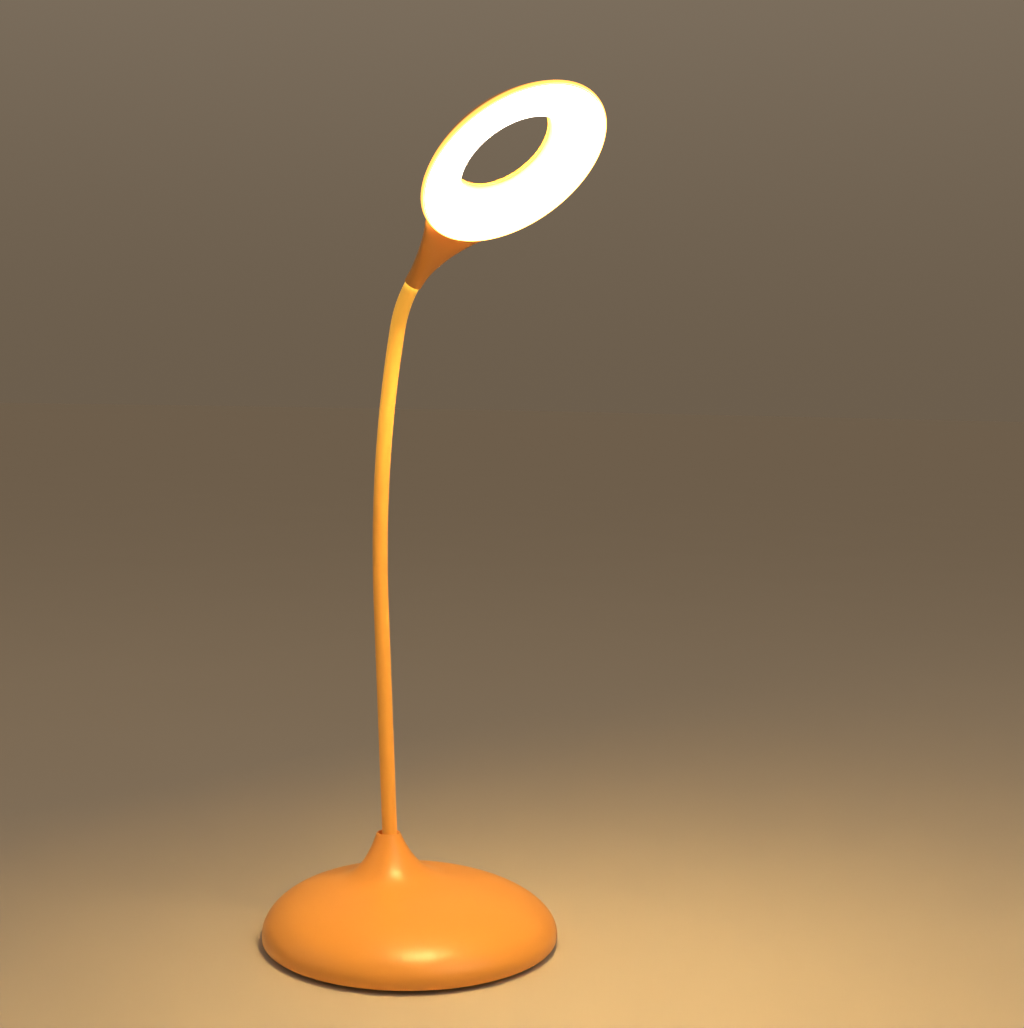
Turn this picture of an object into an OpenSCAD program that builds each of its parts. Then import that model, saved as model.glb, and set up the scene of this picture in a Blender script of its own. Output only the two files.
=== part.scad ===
// Gooseneck desk lamp with a ring-shaped light head on a pebble-shaped weighted base.
// Millimetres. +Z is up, +X is the way the head leans, the origin is the centre of the foot pad's
// underside. The lamp is symmetric about the plane Y = 0, apart from the wiring in its base.

/* [Base shell] */
// Radius of the base at its widest
base_r = 65; // [62:0.5:72]
// Height of the widest ring above the table
belly_z = 4; // [3.5:0.25:6]
// Height of the shell's lower edge above the table
edge_z = 2; // [1.5:0.25:2.25]
// How far the lower edge draws in under the widest ring
edge_in = 0.5; // [0.2:0.1:1]
// Height of the dome above its widest ring
dome_h = 20.5; // [19.5:0.5:26]
// Roundness of the dome seen from above: higher keeps the top flatter
dome_p = 2.85; // [2.4:0.05:3]
// Roundness of the dome's shoulder: higher makes it squarer
dome_q = 2; // [2:0.1:2.4]
// Thickness of the shell
shell_wall = 2; // [1.6:0.1:2.4]

/* [Collar] */
// Distance of the collar behind the middle of the base
collar_back = 15.6; // [10:0.5:20]
// Outer radius of the collar at its mouth
collar_r = 5.3; // [5.1:0.1:6]
// Height of the flare that carries the collar
flare_h = 20; // [18:0.5:24]
// Reach of the flare over the dome
flare_w = 40; // [34:1:44]
// Hollowness of the flare: higher makes its sides steeper near the collar
flare_n = 5; // [4:0.25:6]
// Wall of the collar at its mouth
collar_wall = 0.9; // [0.7:0.1:1]
// Depth of the open mouth
mouth_depth = 3; // [2:0.5:5]
// How far the neck stands forward of the collar's middle at the mouth
mouth_shift = 0.9; // [0.4:0.1:1]

/* [Base plate and foot] */
// Thickness of the foot pad
pad_t = 2.6; // [2.3:0.1:3.5]
// How far the pad stays inside the base's widest ring
pad_inset = 6; // [4:0.5:9]
// Thickness of the base plate
plate_t = 2; // [1.6:0.1:2.6]
// Gap round the base plate inside the shell
plate_gap = 0.15; // [0.1:0.05:0.4]
// Distance of the screw bosses inside the widest ring
boss_inset = 11; // [9.5:0.5:13]
// Radius of the shell's screw bosses
boss_r = 3.4; // [3:0.1:3.8]
// Height of the plate's own screw bosses above the plate
plate_boss_h = 2; // [1.8:0.1:2.6]

/* [Screws] */
// Radius of the thread of the case screws
screw_r = 1.3; // [1:0.05:1.4]
// Radius of the head of the case screws
screw_head_r = 2.6; // [2.2:0.1:2.9]
// Height of the head of the case screws
screw_head_h = 1.7; // [1.4:0.1:2]
// Radius of the thread of the board screws
tiny_r = 0.9; // [0.7:0.05:1.1]
// Radius of the head of the board screws
tiny_head_r = 1.7; // [1.5:0.1:1.9]
// Height of the head of the board screws
tiny_head_h = 1.2; // [0.8:0.1:1.4]

/* [Counterweight and battery] */
// Thickness of the steel counterweight
weight_t = 6; // [4:0.5:7]
// Gap between the charge board and the weight's cut edge
weight_gap = 3.3; // [2.9:0.1:4]
// Length of the flat battery cell
cell_l = 46; // [38:1:48]
// Width of the battery cell
cell_w = 33; // [26:1:34]
// Thickness of the battery cell
cell_t = 7; // [5:0.5:7.5]
// Gap between the battery cell and the control board
cell_gap = 6; // [5.5:0.25:7]

/* [Boards] */
// Thickness of the circuit boards
board_t = 1.2; // [0.8:0.2:1.6]
// Length of the control board
control_l = 28; // [27:1:32]
// Width of the control board
control_w = 26; // [24:1:30]
// Distance of the control board's middle in front of the base's middle
control_x = 30; // [29:0.5:31]
// Gap between the counterweight and the control board
control_lift = 2.2; // [2:0.1:2.8]
// Length of the charge board
charge_l = 15; // [14:0.5:16]
// Width of the charge board
charge_w = 22; // [20:1:24]
// Width of the charge socket
port_w = 8.9; // [8.5:0.1:9.2]
// Height of the charge socket
port_h = 3.2; // [3:0.1:3.4]
// Depth of the charge socket
port_d = 7.3; // [6.5:0.1:8]
// Gap between the socket and the shell's slot
port_gap = 0.3; // [0.2:0.05:0.5]
// Radius of the charge light's lens
light_r = 1.0; // [0.8:0.1:1.2]

/* [Neck] */
// Outer radius of the silicone sleeve
sleeve_r = 3.35; // [3.2:0.05:3.4]
// Outer radius of the steel hose inside the sleeve
hose_r = 2.5; // [2.3:0.05:2.6]
// Radius of the hose's bore
hose_bore_r = 1.4; // [1.25:0.05:1.5]
// Lean of the straight lower run, degrees back from upright
neck_lean = 4.4; // [3:0.2:6]
// Length of the straight lower run above the collar
straight_run = 103; // [90:1:115]
// Length of the long gentle bend above it
gentle_run = 122.5; // [110:0.5:130]
// Radius of the gentle bend
gentle_r = 413; // [380:1:600]
// Length of the tight bend below the head
tight_run = 21.5; // [18:0.5:24]
// Radius of the tight bend
tight_r = 43; // [38:1:70]
// Bare neck between each end link and its socket
end_gap = 8; // [7.5:0.5:12]
// Gap between one turn of the hose that is modelled and the next
link_gap = 0.8; // [0.7:0.05:0.95]

/* [Neck fixing] */
// Depth of the sleeve's end in the collar
sleeve_root = 11; // [9:0.5:12]
// Length of the ferrule's flange
flange_l = 3; // [2:0.5:3.5]
// Radius of the ferrule's thread
thread_r = 2.7; // [2.5:0.1:2.8]
// Thickness of the seat that the nut clamps
seat_t = 3; // [2.5:0.5:3.5]
// Thickness of the washer
washer_t = 0.6; // [0.4:0.1:0.8]
// Radius of the washer
washer_r = 5.2; // [4.8:0.1:5.6]
// Thickness of the hexagon nut
nut_t = 2.6; // [2.2:0.1:3]
// Width of the nut across its flats
nut_af = 8; // [7.5:0.5:8.5]
// Running gap between the neck's parts and their bores
fit_gap = 0.2; // [0.15:0.05:0.3]

/* [Head] */
// Tilt of the light face from upright, degrees
head_tilt = 47.8; // [44:0.5:52]
// Distance from the neck's socket to the middle of the ring
head_reach = 75; // [72:0.5:80]
// Depth of the neck's socket behind the light face
socket_back = 8; // [7:0.25:8.5]
// Radius of the head over its rim
rim_r = 41.8; // [40:0.2:44]
// Height of the rim's straight edge
rim_h = 1.2; // [1:0.1:1.5]
// Wall of the rim outside the diffuser
rim_wall = 0.8; // [0.6:0.1:1]
// Radius of the hole through the head at the light face
hole_r = 25; // [23.5:0.5:26]
// Radius of the hole at its narrow end in the back shell
hole_back_r = 21.5; // [20:0.5:23]
// Depth of the diffuser's end in the hole
wall_end = 11.7; // [11:0.1:12]
// Radius of the head's domed back
back_r = 55; // [52:0.5:60]
// Thickness of the head's back shell
head_wall = 1.5; // [1.2:0.1:1.8]

/* [Stem of the head] */
// Radius of the stem at its mouth
stem_r = 3.95; // [3.9:0.05:4.4]
// How fast the stem widens: its half width gained per millimetre
stem_spread = 0.36; // [0.32:0.004:0.38]
// Length of the round neck of the stem before it widens
stem_plain = 6; // [5:0.25:7]
// Radius of the arcs that lead the stem's sides into the rim
sweep_r = 79; // [60:1:84]
// Half the thickness of the stem in its middle
stem_t = 4.5; // [4.3:0.1:4.9]
// Depth of the sleeve's end in the stem
sleeve_tip = 3; // [2:0.5:3.5]
// Length of the ferrule in the stem
tip_ferrule_l = 10; // [8:0.5:11]

/* [Light] */
// Thickness of the diffuser
diffuser_t = 1.2; // [1:0.1:1.4]
// Gap round the diffuser in its rebate
diffuser_gap = 0.1; // [0.05:0.05:0.2]
// Inner radius of the ring of light board
led_board_in = 27.2; // [27:0.1:27.6]
// Outer radius of the ring of light board
led_board_out = 34; // [33:0.2:34.4]
// Depth of the light board behind the light face
led_board_z = 4.4; // [4:0.1:4.6]
// Thickness of the light board
led_board_t = 1; // [0.8:0.1:1.2]
// Number of light-emitting chips
chips = 24; // [12:3:30]
// Length and width of a chip
chip_l = 3.5; // [2.8:0.1:3.8]
// Height of a chip
chip_h = 0.8; // [0.6:0.1:1]

/* [Wiring] */
// Radius of the lamp lead
lead_r = 0.9; // [0.7:0.05:1]
// Radius of the battery and charge leads
wire_r = 0.8; // [0.6:0.05:0.9]

/* [Hidden] */
// Round forms that stay true curves, and the sides of the shells that are meshes.
$fn = 64;
SHELL_SIDES = 64;
SHELL_RINGS = 22;
CAVITY_SIDES = 40;
CAVITY_RINGS = 10;
STEM_SIDES = 32;
STEM_RINGS = 16;
LEAD_SIDES = 8;
SLEEVE_SIDES = 32;
GENTLE_RINGS = 14;
TIGHT_RINGS = 8;
EPS = 0.01;

// Base levels, from the table up.
plate_z0 = pad_t;
plate_z1 = plate_z0 + plate_t;
boss_z = plate_z1 + plate_boss_h;
weight_z1 = plate_z1 + weight_t;
cell_z1 = weight_z1 + cell_t;
control_z = weight_z1 + control_lift;
control_z1 = control_z + board_t;
post_h = 2.2;
charge_z = plate_z1 + post_h;
charge_z1 = charge_z + board_t;

// Base plan.
cavity_r = base_r - shell_wall;
cavity_z0 = plate_z1 + 0.4;
cavity_h = belly_z + dome_h - shell_wall - cavity_z0;
cavity_top_r = 6;
plate_r = cavity_r * cos(180 / CAVITY_SIDES) - plate_gap;
pad_r = base_r - pad_inset;
boss_ring_r = base_r - boss_inset;
plate_boss_r = boss_r + 0.8;
weight_r = boss_ring_r - plate_boss_r - 1.8;
weight_screw_r = weight_r - 5;
weight_screw_a = 50;
weight_hole_r = screw_r + 0.3;
cell_round = 2.5;
cell_seam = 3;
pilot_gap = 0.05;
head_recess = 0.3;

// Control board: the places of its screws, its socket, its parts and its touch spring. The battery
// cell lies behind it.
control_x0 = control_x - control_l / 2;
cell_x1 = control_x0 - cell_gap;
cell_x0 = cell_x1 - cell_l;
control_screw_dx = control_l / 2 - 3.5;
control_screw_dy = control_w / 2 - 3.5;
control_boss_r = 2.4;
socket_l = 4;
socket_w = 12;
socket_h = 3;
socket_z = control_z1 + socket_h / 2;
chip_x = control_x - 4;
coil_x = control_x + 1;
coil_y = 8.5;
coil_r = 2;
spring_x = control_x + 4;
spring_turns = 5;
spring_r = 2.6;
spring_wire_r = 0.3;

// Charge board at the back of the base.
port_z = charge_z1 + port_h / 2;
port_face_in = 0.5;
port_x = collar_shift(wall_r(port_z + port_h / 2)) - wall_r(port_z + port_h / 2) + port_face_in;
charge_x0 = port_x + 3;
charge_x1 = charge_x0 + charge_l;
charge_post_x = charge_x1 - 3;
charge_post_y = charge_w / 2 - 3;
charge_post_r = 2.3;
weight_x0 = charge_x1 + weight_gap;
plug_l = 4;
plug_w = 6;
plug_h = 2.6;
plug_y = 3;
slot_l = 8;
light_y = 8;
light_l = 6;
light_z = charge_z1 + light_r + 0.3;
light_x = collar_shift(wall_r(light_z))
    - sqrt(pow(wall_r(light_z), 2) - pow(light_y, 2));

// Neck: the collar's mouth, the three stretches, and the stations of the joints between the links.
collar_x = -collar_back;
collar_z = shell_z(collar_r);
mouth_r = collar_r - collar_wall;
root = [collar_x + mouth_shift, 0, collar_z];
tight_s = straight_run + gentle_run;
neck_len = tight_s + tight_run;
lean_gentle = -neck_lean + turn(gentle_run, gentle_r);
gentle_start = root + straight_run * heading(-neck_lean);
tight_start = on_arc(gentle_start, -neck_lean, gentle_r, gentle_run);
tip_turn = lean_gentle + turn(tight_run, tight_r);
tip = on_arc(tight_start, lean_gentle, tight_r, tight_run);
straight_links = 4;
gentle_links = 5;
links = straight_links + gentle_links + 1;
flange_r = sleeve_r + 0.05;
bore_r = sleeve_r + fit_gap;
seat_s = -sleeve_root - flange_l;
washer_s = seat_s - seat_t;
nut_s = washer_s - washer_t;
ferrule_end_s = nut_s - nut_t - 1;
pocket_r = washer_r + 1.2;
pocket_l = nut_t + 6.4;

// Head: the frame of the light face, whose own +Z points to the back of the head.
face_in = [cos(head_tilt), 0, -sin(head_tilt)];
face_up = [sin(head_tilt), 0, cos(head_tilt)];
head_c = tip + head_reach * face_up + socket_back * face_in;
socket_slope = tan(head_tilt - tip_turn);
back_c = sqrt(pow(back_r, 2) - pow(rim_r, 2)) - rim_h;
lip_r = hole_back_r + 3.5;
head_t = sqrt(pow(back_r, 2) - pow(lip_r, 2)) - back_c;
stem_end = head_reach - lip_r - 4;
stem_edge_z = 0.8;
stem_rise = 0.87;
stem_end_lean = 1.5;
stem_full = 0.6;
stem_thin = 2.6;
stem_curl = 2.33;
led_ring_r = (led_board_in + led_board_out) / 2;
led_boss_r = 1.9;
rebate_r = rim_r - rim_wall;
diffuser_r = rebate_r - diffuser_gap;
inner_wall_r = hole_r + diffuser_t;
lip_z = wall_end + diffuser_gap;
lip_h = 0.9;
hole_slope = (hole_r - hole_back_r) / wall_end;
channel_r = lead_r + 0.35;

// Each side of the stem is a straight slope, then an arc that touches the slope and the rim: the
// arc's middle, and where it begins and ends.
slope_l = norm([1, stem_spread]);
slope_y = stem_r + stem_spread * (head_reach - stem_plain) + sweep_r * slope_l;
sweep_x = -(slope_y * stem_spread + sqrt(pow(slope_l * (rim_r + sweep_r), 2) - pow(slope_y, 2)))
    / pow(slope_l, 2);
sweep_y = slope_y + stem_spread * sweep_x;
sweep_x0 = sweep_x + sweep_r * stem_spread / slope_l;
sweep_x1 = sweep_x * rim_r / (rim_r + sweep_r);

// The lamp lead's channel through the stem.
channel_x0 = tip_ferrule_l * cos(head_tilt - tip_turn) - head_reach - 1;
channel_z0 = socket_back + tip_ferrule_l * sin(head_tilt - tip_turn);
channel_l = -led_board_out - 0.5 - channel_x0;
channel_dip = atan((channel_z0 - led_board_z - led_board_t) / channel_l);

// Routes of the leads in the base, and in the head's own frame for the lamp lead's last stretch. The
// charge lead climbs onto the weight, passes behind the cell and runs along its side.
lane_x = (charge_x1 + cell_x0) / 2;
lane_y = cell_w / 2 + 3;
lane_z = weight_z1 + 1;
plug_z = charge_z1 + plug_h / 2;
lamp_route_base = [
    [control_x0 - 0.05, 0, socket_z], [control_x0 - 0.6, 0, socket_z], [control_x0 - 1.9, 0, socket_z + 0.2],
    [control_x0 - 3.3, 0, socket_z + 1.2], [control_x0 - 4.8, 0, socket_z + 2.7],
    [cell_x1 - 2, 0, cell_z1 + 1.15], [0, 0, cell_z1 + 1.2], [-6, 0, cell_z1 + 1.2], [-9.6, 0, cell_z1 + 1.5],
    [-11.8, 0, cell_z1 + 2.6]
];
lamp_route_head = [
    [-58, 0, 8.3], [-50, 0, 7.2], [-42, 0, 6.2], [-38, 0, 5.7], [-35.5, 0, 5.3], [-34.05, 0, 5]
];
charge_route = [
    [charge_x1 + 0.05, plug_y, plug_z], [charge_x1 + 0.6, plug_y, plug_z],
    [charge_x1 + 1.4, plug_y + 0.3, plug_z + 0.5], [charge_x1 + 2, plug_y + 0.8, plug_z + 1.6],
    [charge_x1 + 2.9, plug_y + 1.8, lane_z + 0.1], [lane_x, plug_y + 4, lane_z], [lane_x, lane_y - 6, lane_z],
    [lane_x + 1.2, lane_y - 2.6, lane_z], [cell_x0 + 0.6, lane_y - 0.5, lane_z], [cell_x0 + 4, lane_y, lane_z],
    [-24, lane_y, lane_z], [-10, lane_y, lane_z], [cell_x1 - 7, lane_y, lane_z],
    [cell_x1 - 1, lane_y - 2.2, lane_z + 0.7], [control_x0 - 3.6, 12.5, lane_z + 2],
    [control_x0 - 2.8, 8, socket_z - 0.4], [control_x0 - 2.1, 5.2, socket_z],
    [control_x0 - 0.6, 4, socket_z], [control_x0 - 0.05, 4, socket_z]
];
battery_route = [
    [cell_x1 + 0.05, -8, weight_z1 + cell_t / 2], [cell_x1 + 0.6, -8, weight_z1 + cell_t / 2],
    [cell_x1 + 2.2, -7.3, weight_z1 + cell_t / 2 + 0.3], [control_x0 - 2.6, -5.4, socket_z - 0.3],
    [control_x0 - 1.5, -4.2, socket_z], [control_x0 - 0.6, -4, socket_z], [control_x0 - 0.05, -4, socket_z]
];

// ---- Base form ----

// Height of a dome of radius r0 and height h0 at the distance r from its middle.
function dome_z(r, r0, h0) = h0 * pow(max(0, 1 - pow(r / r0, dome_p)), 1 / dome_q);

// Height of the shell's outside: the dome and the hollow flare of the collar on it.
function shell_z(r) = belly_z + dome_z(r, base_r, dome_h)
    + flare_h * pow(max(0, 1 - (r - collar_r) / flare_w), flare_n);

// The rings of the shell drift back from the middle of the base to the collar.
function collar_shift(r) = -collar_back * (base_r - r) / (base_r - collar_r);

// Radius of the shell's outside at a height on its shoulder.
function wall_r(z) = base_r * pow(1 - pow((z - belly_z) / dome_h, dome_q), 1 / dome_p);

// The same for the rings of the shell's inside.
function cavity_shift(r) = -collar_back * (cavity_r - r) / (cavity_r - collar_r);

// Height of the shell's inside over a point of the plan.
function ceiling_z(x, y) =
    let (r = norm([x - cavity_shift(norm([x, y])), y]))
    cavity_z0 + dome_z(r, cavity_r, cavity_h);

// A closed skin through rings of equal count, each turning anticlockwise about the way they climb.
module skin(rings) {
    n = len(rings[0]);
    m = len(rings);
    first = [for (j = [0:n - 1]) j];
    last = [for (j = [n - 1:-1:0]) (m - 1) * n + j];
    sides = [
        for (i = [0:m - 2])
            for (j = [0:n - 1])
                [i * n + j, (i + 1) * n + j, (i + 1) * n + (j + 1) % n, i * n + (j + 1) % n]
    ];
    polyhedron([for (ring = rings) each ring], concat([first, last], sides));
}

function level_ring(r, z, x, n) = [for (j = [0:n - 1]) [x + r * cos(360 * j / n), r * sin(360 * j / n), z]];

// Radii from the widest ring in to r1, close together at both ends.
function ring_r(i, count, r0, r1) = r1 + (r0 - r1) * pow(cos(90 * i / count), 1.6);

module shell_outside() {
    rings = concat(
        [level_ring(base_r - edge_in, edge_z, 0, SHELL_SIDES)],
        [for (i = [0:SHELL_RINGS])
            let (r = ring_r(i, SHELL_RINGS, base_r, collar_r))
            level_ring(r, shell_z(r), collar_shift(r), SHELL_SIDES)]
    );
    skin(rings);
}

module shell_cavity() {
    rings = concat(
        [level_ring(cavity_r, edge_z - 1, 0, CAVITY_SIDES)],
        [for (i = [0:CAVITY_RINGS])
            let (r = ring_r(i, CAVITY_RINGS, cavity_r, cavity_top_r))
            level_ring(r, cavity_z0 + dome_z(r, cavity_r, cavity_h), cavity_shift(r), CAVITY_SIDES)]
    );
    skin(rings);
}

module at_case_bosses() {
    for (a = [45:90:315])
        rotate([0, 0, a]) translate([boss_ring_r, 0, 0]) children();
}

module at_control_screws() {
    for (dx = [-1, 1])
        for (dy = [-1, 1])
            translate([control_x + dx * control_screw_dx, dy * control_screw_dy, 0]) children();
}

module at_charge_posts() {
    for (dy = [-1, 1])
        translate([charge_post_x, dy * charge_post_y, 0]) children();
}

module base_shell() {
    color([1, 0.78, 0.5])
    difference() {
        shell_outside();
        difference() {
            shell_cavity();
            at_case_bosses()
                translate([0, 0, boss_z]) cylinder(h = dome_h, r = boss_r);
            at_control_screws()
                translate([0, 0, control_z1]) cylinder(h = dome_h, r = control_boss_r);
        }
        at_case_bosses()
            translate([0, 0, boss_z - EPS]) cylinder(h = 5, r = screw_r - pilot_gap * 4);
        at_control_screws()
            translate([0, 0, control_z1 - EPS]) cylinder(h = 3.4, r = tiny_r - pilot_gap * 4);
        translate([collar_x, 0, collar_z - mouth_depth]) cylinder(h = mouth_depth + 1, r = mouth_r);
        on_neck(seat_s) cylinder(h = -seat_s - mouth_depth / 2, r = bore_r);
        on_neck(washer_s - 1) cylinder(h = seat_t + 2, r = thread_r + fit_gap);
        on_neck(washer_s - pocket_l) cylinder(h = pocket_l, r = pocket_r);
        translate([port_x - slot_l / 2, 0, port_z]) port_slot(port_gap, slot_l);
        translate([light_x - light_l / 3, light_y, light_z]) rotate([0, 90, 0])
            cylinder(h = light_l, r = light_r + 0.1);
    }
}

// A slot with round ends, as wide and high as the charge socket and its gap, running along +X.
module port_slot(gap, length) {
    w = port_w / 2 + gap;
    h = port_h / 2 + gap;
    rotate([90, 0, 90]) linear_extrude(length) {
        square([2 * (w - h), 2 * h], center = true);
        for (side = [-1, 1])
            translate([side * (w - h), 0]) circle(h);
    }
}

// ---- Base plate, foot and weight ----

module foot_pad() {
    color([0.13, 0.11, 0.1])
    rotate_extrude() polygon([
        [0, 0], [pad_r - 0.6, 0], [pad_r, 0.6], [pad_r, pad_t], [0, pad_t]
    ]);
}

module base_plate() {
    color([0.95, 0.72, 0.46])
    difference() {
        union() {
            translate([0, 0, plate_z0]) cylinder(h = plate_t, r = plate_r);
            at_case_bosses()
                translate([0, 0, plate_z0]) cylinder(h = plate_t + plate_boss_h, r = plate_boss_r);
            at_charge_posts()
                translate([0, 0, plate_z0]) cylinder(h = plate_t + post_h, r = charge_post_r);
        }
        at_case_bosses() {
            translate([0, 0, plate_z0 - 1]) cylinder(h = screw_head_h + head_recess + 1, r = screw_head_r + 0.2);
            cylinder(h = boss_z + 1, r = screw_r + 0.25);
        }
        at_charge_posts()
            translate([0, 0, plate_z0 + 0.8]) cylinder(h = plate_t + post_h, r = tiny_r - 0.15);
        at_weight_screws()
            translate([0, 0, plate_z0 + 0.4]) cylinder(h = plate_t, r = screw_r + pilot_gap);
    }
}

// A pan-head screw whose head rests on z = 0 with its thread going up, drawn with a cross slot.
module screw(length, thread, head, head_h) {
    difference() {
        union() {
            cylinder(h = length, r = thread);
            translate([0, 0, -head_h]) cylinder(h = head_h, r = head);
        }
        for (a = [0, 90])
            rotate([0, 0, a]) translate([-head * 0.6, -head * 0.12, -head_h - EPS])
                cube([head * 1.2, head * 0.24, head_h * 0.5]);
    }
}

module base_screws() {
    color("silver")
    at_case_bosses()
        translate([0, 0, plate_z0 + screw_head_h + head_recess])
            screw(plate_t + plate_boss_h - screw_head_h + 4, screw_r - pilot_gap * 5, screw_head_r, screw_head_h);
}

module at_weight_screws() {
    for (a = [weight_screw_a, 180 - weight_screw_a, 180 + weight_screw_a, -weight_screw_a])
        rotate([0, 0, a]) translate([weight_screw_r, 0, 0]) children();
}

module counterweight() {
    color([0.45, 0.44, 0.43])
    difference() {
        translate([0, 0, plate_z1]) cylinder(h = weight_t, r = weight_r);
        translate([weight_x0 - base_r, -base_r, plate_z1 - 1]) cube([base_r, 2 * base_r, weight_t + 2]);
        at_weight_screws()
            translate([0, 0, plate_z1 - 1]) cylinder(h = weight_t + 2, r = weight_hole_r);
    }
}

module weight_screws() {
    color("silver")
    at_weight_screws()
        translate([0, 0, weight_z1]) rotate([180, 0, 0])
            screw(weight_t + plate_t - 0.5, screw_r, screw_head_r, screw_head_h);
}

// ---- Battery and boards ----

module battery_cell() {
    color([0.75, 0.77, 0.8])
    translate([cell_x0 + cell_l / 2, 0, weight_z1]) {
        linear_extrude(cell_t) rounded_plan(cell_l - cell_seam, cell_w, cell_round);
        translate([0, 0, cell_t * 0.25]) linear_extrude(cell_t * 0.5)
            square([cell_l, cell_w - 2 * cell_seam], center = true);
    }
}

// A rectangle with round corners, made of squares and circles.
module rounded_plan(l, w, r) {
    square([l - 2 * r, w], center = true);
    square([l, w - 2 * r], center = true);
    for (dx = [-1, 1])
        for (dy = [-1, 1])
            translate([dx * (l / 2 - r), dy * (w / 2 - r)]) circle(r);
}

module control_board() {
    color([0.1, 0.35, 0.2])
    difference() {
        translate([control_x0, -control_w / 2, control_z]) cube([control_l, control_w, board_t]);
        at_control_screws()
            translate([0, 0, control_z - 1]) cylinder(h = board_t + 2, r = tiny_r + 0.2);
    }
}

// The lead socket, the touch chip, the driver chip, the coil and two capacitors.
module control_parts() {
    color([0.2, 0.2, 0.22])
    translate([0, 0, control_z1]) {
        translate([control_x0, -socket_w / 2, 0]) cube([socket_l, socket_w, socket_h]);
        translate([chip_x, -5.5, 0]) cube([4, 5, 1.5]);
        translate([chip_x, 1.5, 0]) cube([5, 4, 1.5]);
        translate([coil_x, -coil_y, 0]) cylinder(h = 2.4, r = coil_r);
        translate([coil_x, coil_y, 0]) cylinder(h = 2, r = coil_r);
    }
}

module charge_board() {
    color([0.1, 0.35, 0.2])
    difference() {
        translate([charge_x0, -charge_w / 2, charge_z]) cube([charge_l, charge_w, board_t]);
        at_charge_posts()
            translate([0, 0, charge_z - 1]) cylinder(h = board_t + 2, r = tiny_r + 0.2);
    }
    color([0.9, 0.88, 0.8])
    translate([charge_x1 - plug_l, plug_y - plug_w / 2, charge_z1]) cube([plug_l, plug_w, plug_h]);
}

// The charge socket: a drawn steel shell with its tongue.
module charge_port() {
    color("silver")
    translate([port_x, 0, port_z])
    difference() {
        port_slot(0, port_d);
        translate([-EPS, 0, 0]) difference() {
            port_slot(-0.35, port_d - 1);
            translate([1.2, -2.8, -0.35]) cube([port_d, 5.6, 0.7]);
        }
    }
}

module charge_light() {
    color([0.9, 0.3, 0.2])
    translate([light_x + 0.2, light_y, light_z]) rotate([0, 90, 0]) cylinder(h = light_l, r = light_r);
}

module board_screws() {
    color("silver") {
        at_control_screws()
            translate([0, 0, control_z]) screw(board_t + 3, tiny_r - pilot_gap * 5, tiny_head_r, tiny_head_h);
        at_charge_posts()
            translate([0, 0, charge_z1]) rotate([180, 0, 0])
                screw(board_t + 2.6, tiny_r - 0.2, tiny_head_r, tiny_head_h);
    }
}

// The touch spring stands on the control board and presses on the underside of the dome.
module touch_spring() {
    height = ceiling_z(spring_x, 0) - control_z1 - 0.6;
    steps = spring_turns * 12;
    route = [
        for (i = [0:steps])
            [
                spring_x + spring_r * cos(360 * i / 12), spring_r * sin(360 * i / 12),
                control_z1 + spring_wire_r + 0.05 + (height - 2 * spring_wire_r) * i / steps
            ]
    ];
    color("gold") lead(route, spring_wire_r, 6);
}

// ---- Leads ----

function unit(v) = v / norm(v);

function tangents(p) = [for (i = [0:len(p) - 1]) unit(p[min(i + 1, len(p) - 1)] - p[max(i - 1, 0)])];

// A side vector at each point, carried along the route without twist.
function side_vectors(t, first, i = 0, found = []) =
    i == len(t) ? found
    : let (before = i == 0 ? first : found[i - 1])
      side_vectors(t, first, i + 1, concat(found, [unit(before - (before * t[i]) * t[i])]));

module lead(route, r, sides) {
    t = tangents(route);
    v = side_vectors(t, [0.1, 1, 0.2]);
    rings = [
        for (i = [0:len(route) - 1])
            [for (j = [0:sides - 1])
                route[i] + r * (cos(360 * j / sides) * v[i] + sin(360 * j / sides) * cross(t[i], v[i]))]
    ];
    skin(rings);
}

module battery_lead() { color([0.75, 0.1, 0.08]) lead(battery_route, wire_r, LEAD_SIDES); }

module charge_lead() { color([0.75, 0.1, 0.08]) lead(charge_route, wire_r, LEAD_SIDES); }

// The lamp lead runs from the control board up the hose's bore to the light board.
module lamp_lead() {
    count = floor(neck_len / 6);
    below = [for (s = [ferrule_end_s + 1, ferrule_end_s + 5, seat_s, -sleeve_root / 2]) neck_point(s)];
    in_neck = [for (i = [0:count]) neck_point(neck_len * i / count)];
    above = [for (s = [4, 9.5]) neck_point(neck_len + s)];
    in_head = [for (p = lamp_route_head) head_point(p)];
    color([0.85, 0.82, 0.78])
    lead(concat(lamp_route_base, below, in_neck, above, in_head), lead_r, LEAD_SIDES);
}

// ---- Neck ----

// Degrees that a bend of radius r turns over a length.
function turn(length, r) = length / r * 180 / PI;

function heading(a) = [sin(a), 0, cos(a)];

// The point a length along an arc of radius r that leaves p with the lean a and bends forward.
function on_arc(p, a, r, length) =
    let (b = a + turn(length, r))
    p + r * [cos(a) - cos(b), 0, sin(b) - sin(a)];

// Lean of the neck at the length s above the collar's mouth, degrees forward from upright.
function neck_angle(s) = -neck_lean
    + turn(min(max(s - straight_run, 0), gentle_run), gentle_r)
    + turn(min(max(s - tight_s, 0), tight_run), tight_r);

// The neck's middle line at the length s, which runs on straight past both ends.
function neck_point(s) =
    s <= straight_run ? root + s * heading(-neck_lean)
    : s <= tight_s ? on_arc(gentle_start, -neck_lean, gentle_r, s - straight_run)
    : s <= neck_len ? on_arc(tight_start, lean_gentle, tight_r, s - tight_s)
    : tip + (s - neck_len) * heading(tip_turn);

// Places its children at the length s, with +Z up along the neck.
module on_neck(s) {
    translate(neck_point(s)) rotate([0, neck_angle(s), 0]) children();
}

module annulus(outer, inner) {
    difference() {
        circle(outer);
        circle(inner);
    }
}

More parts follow.
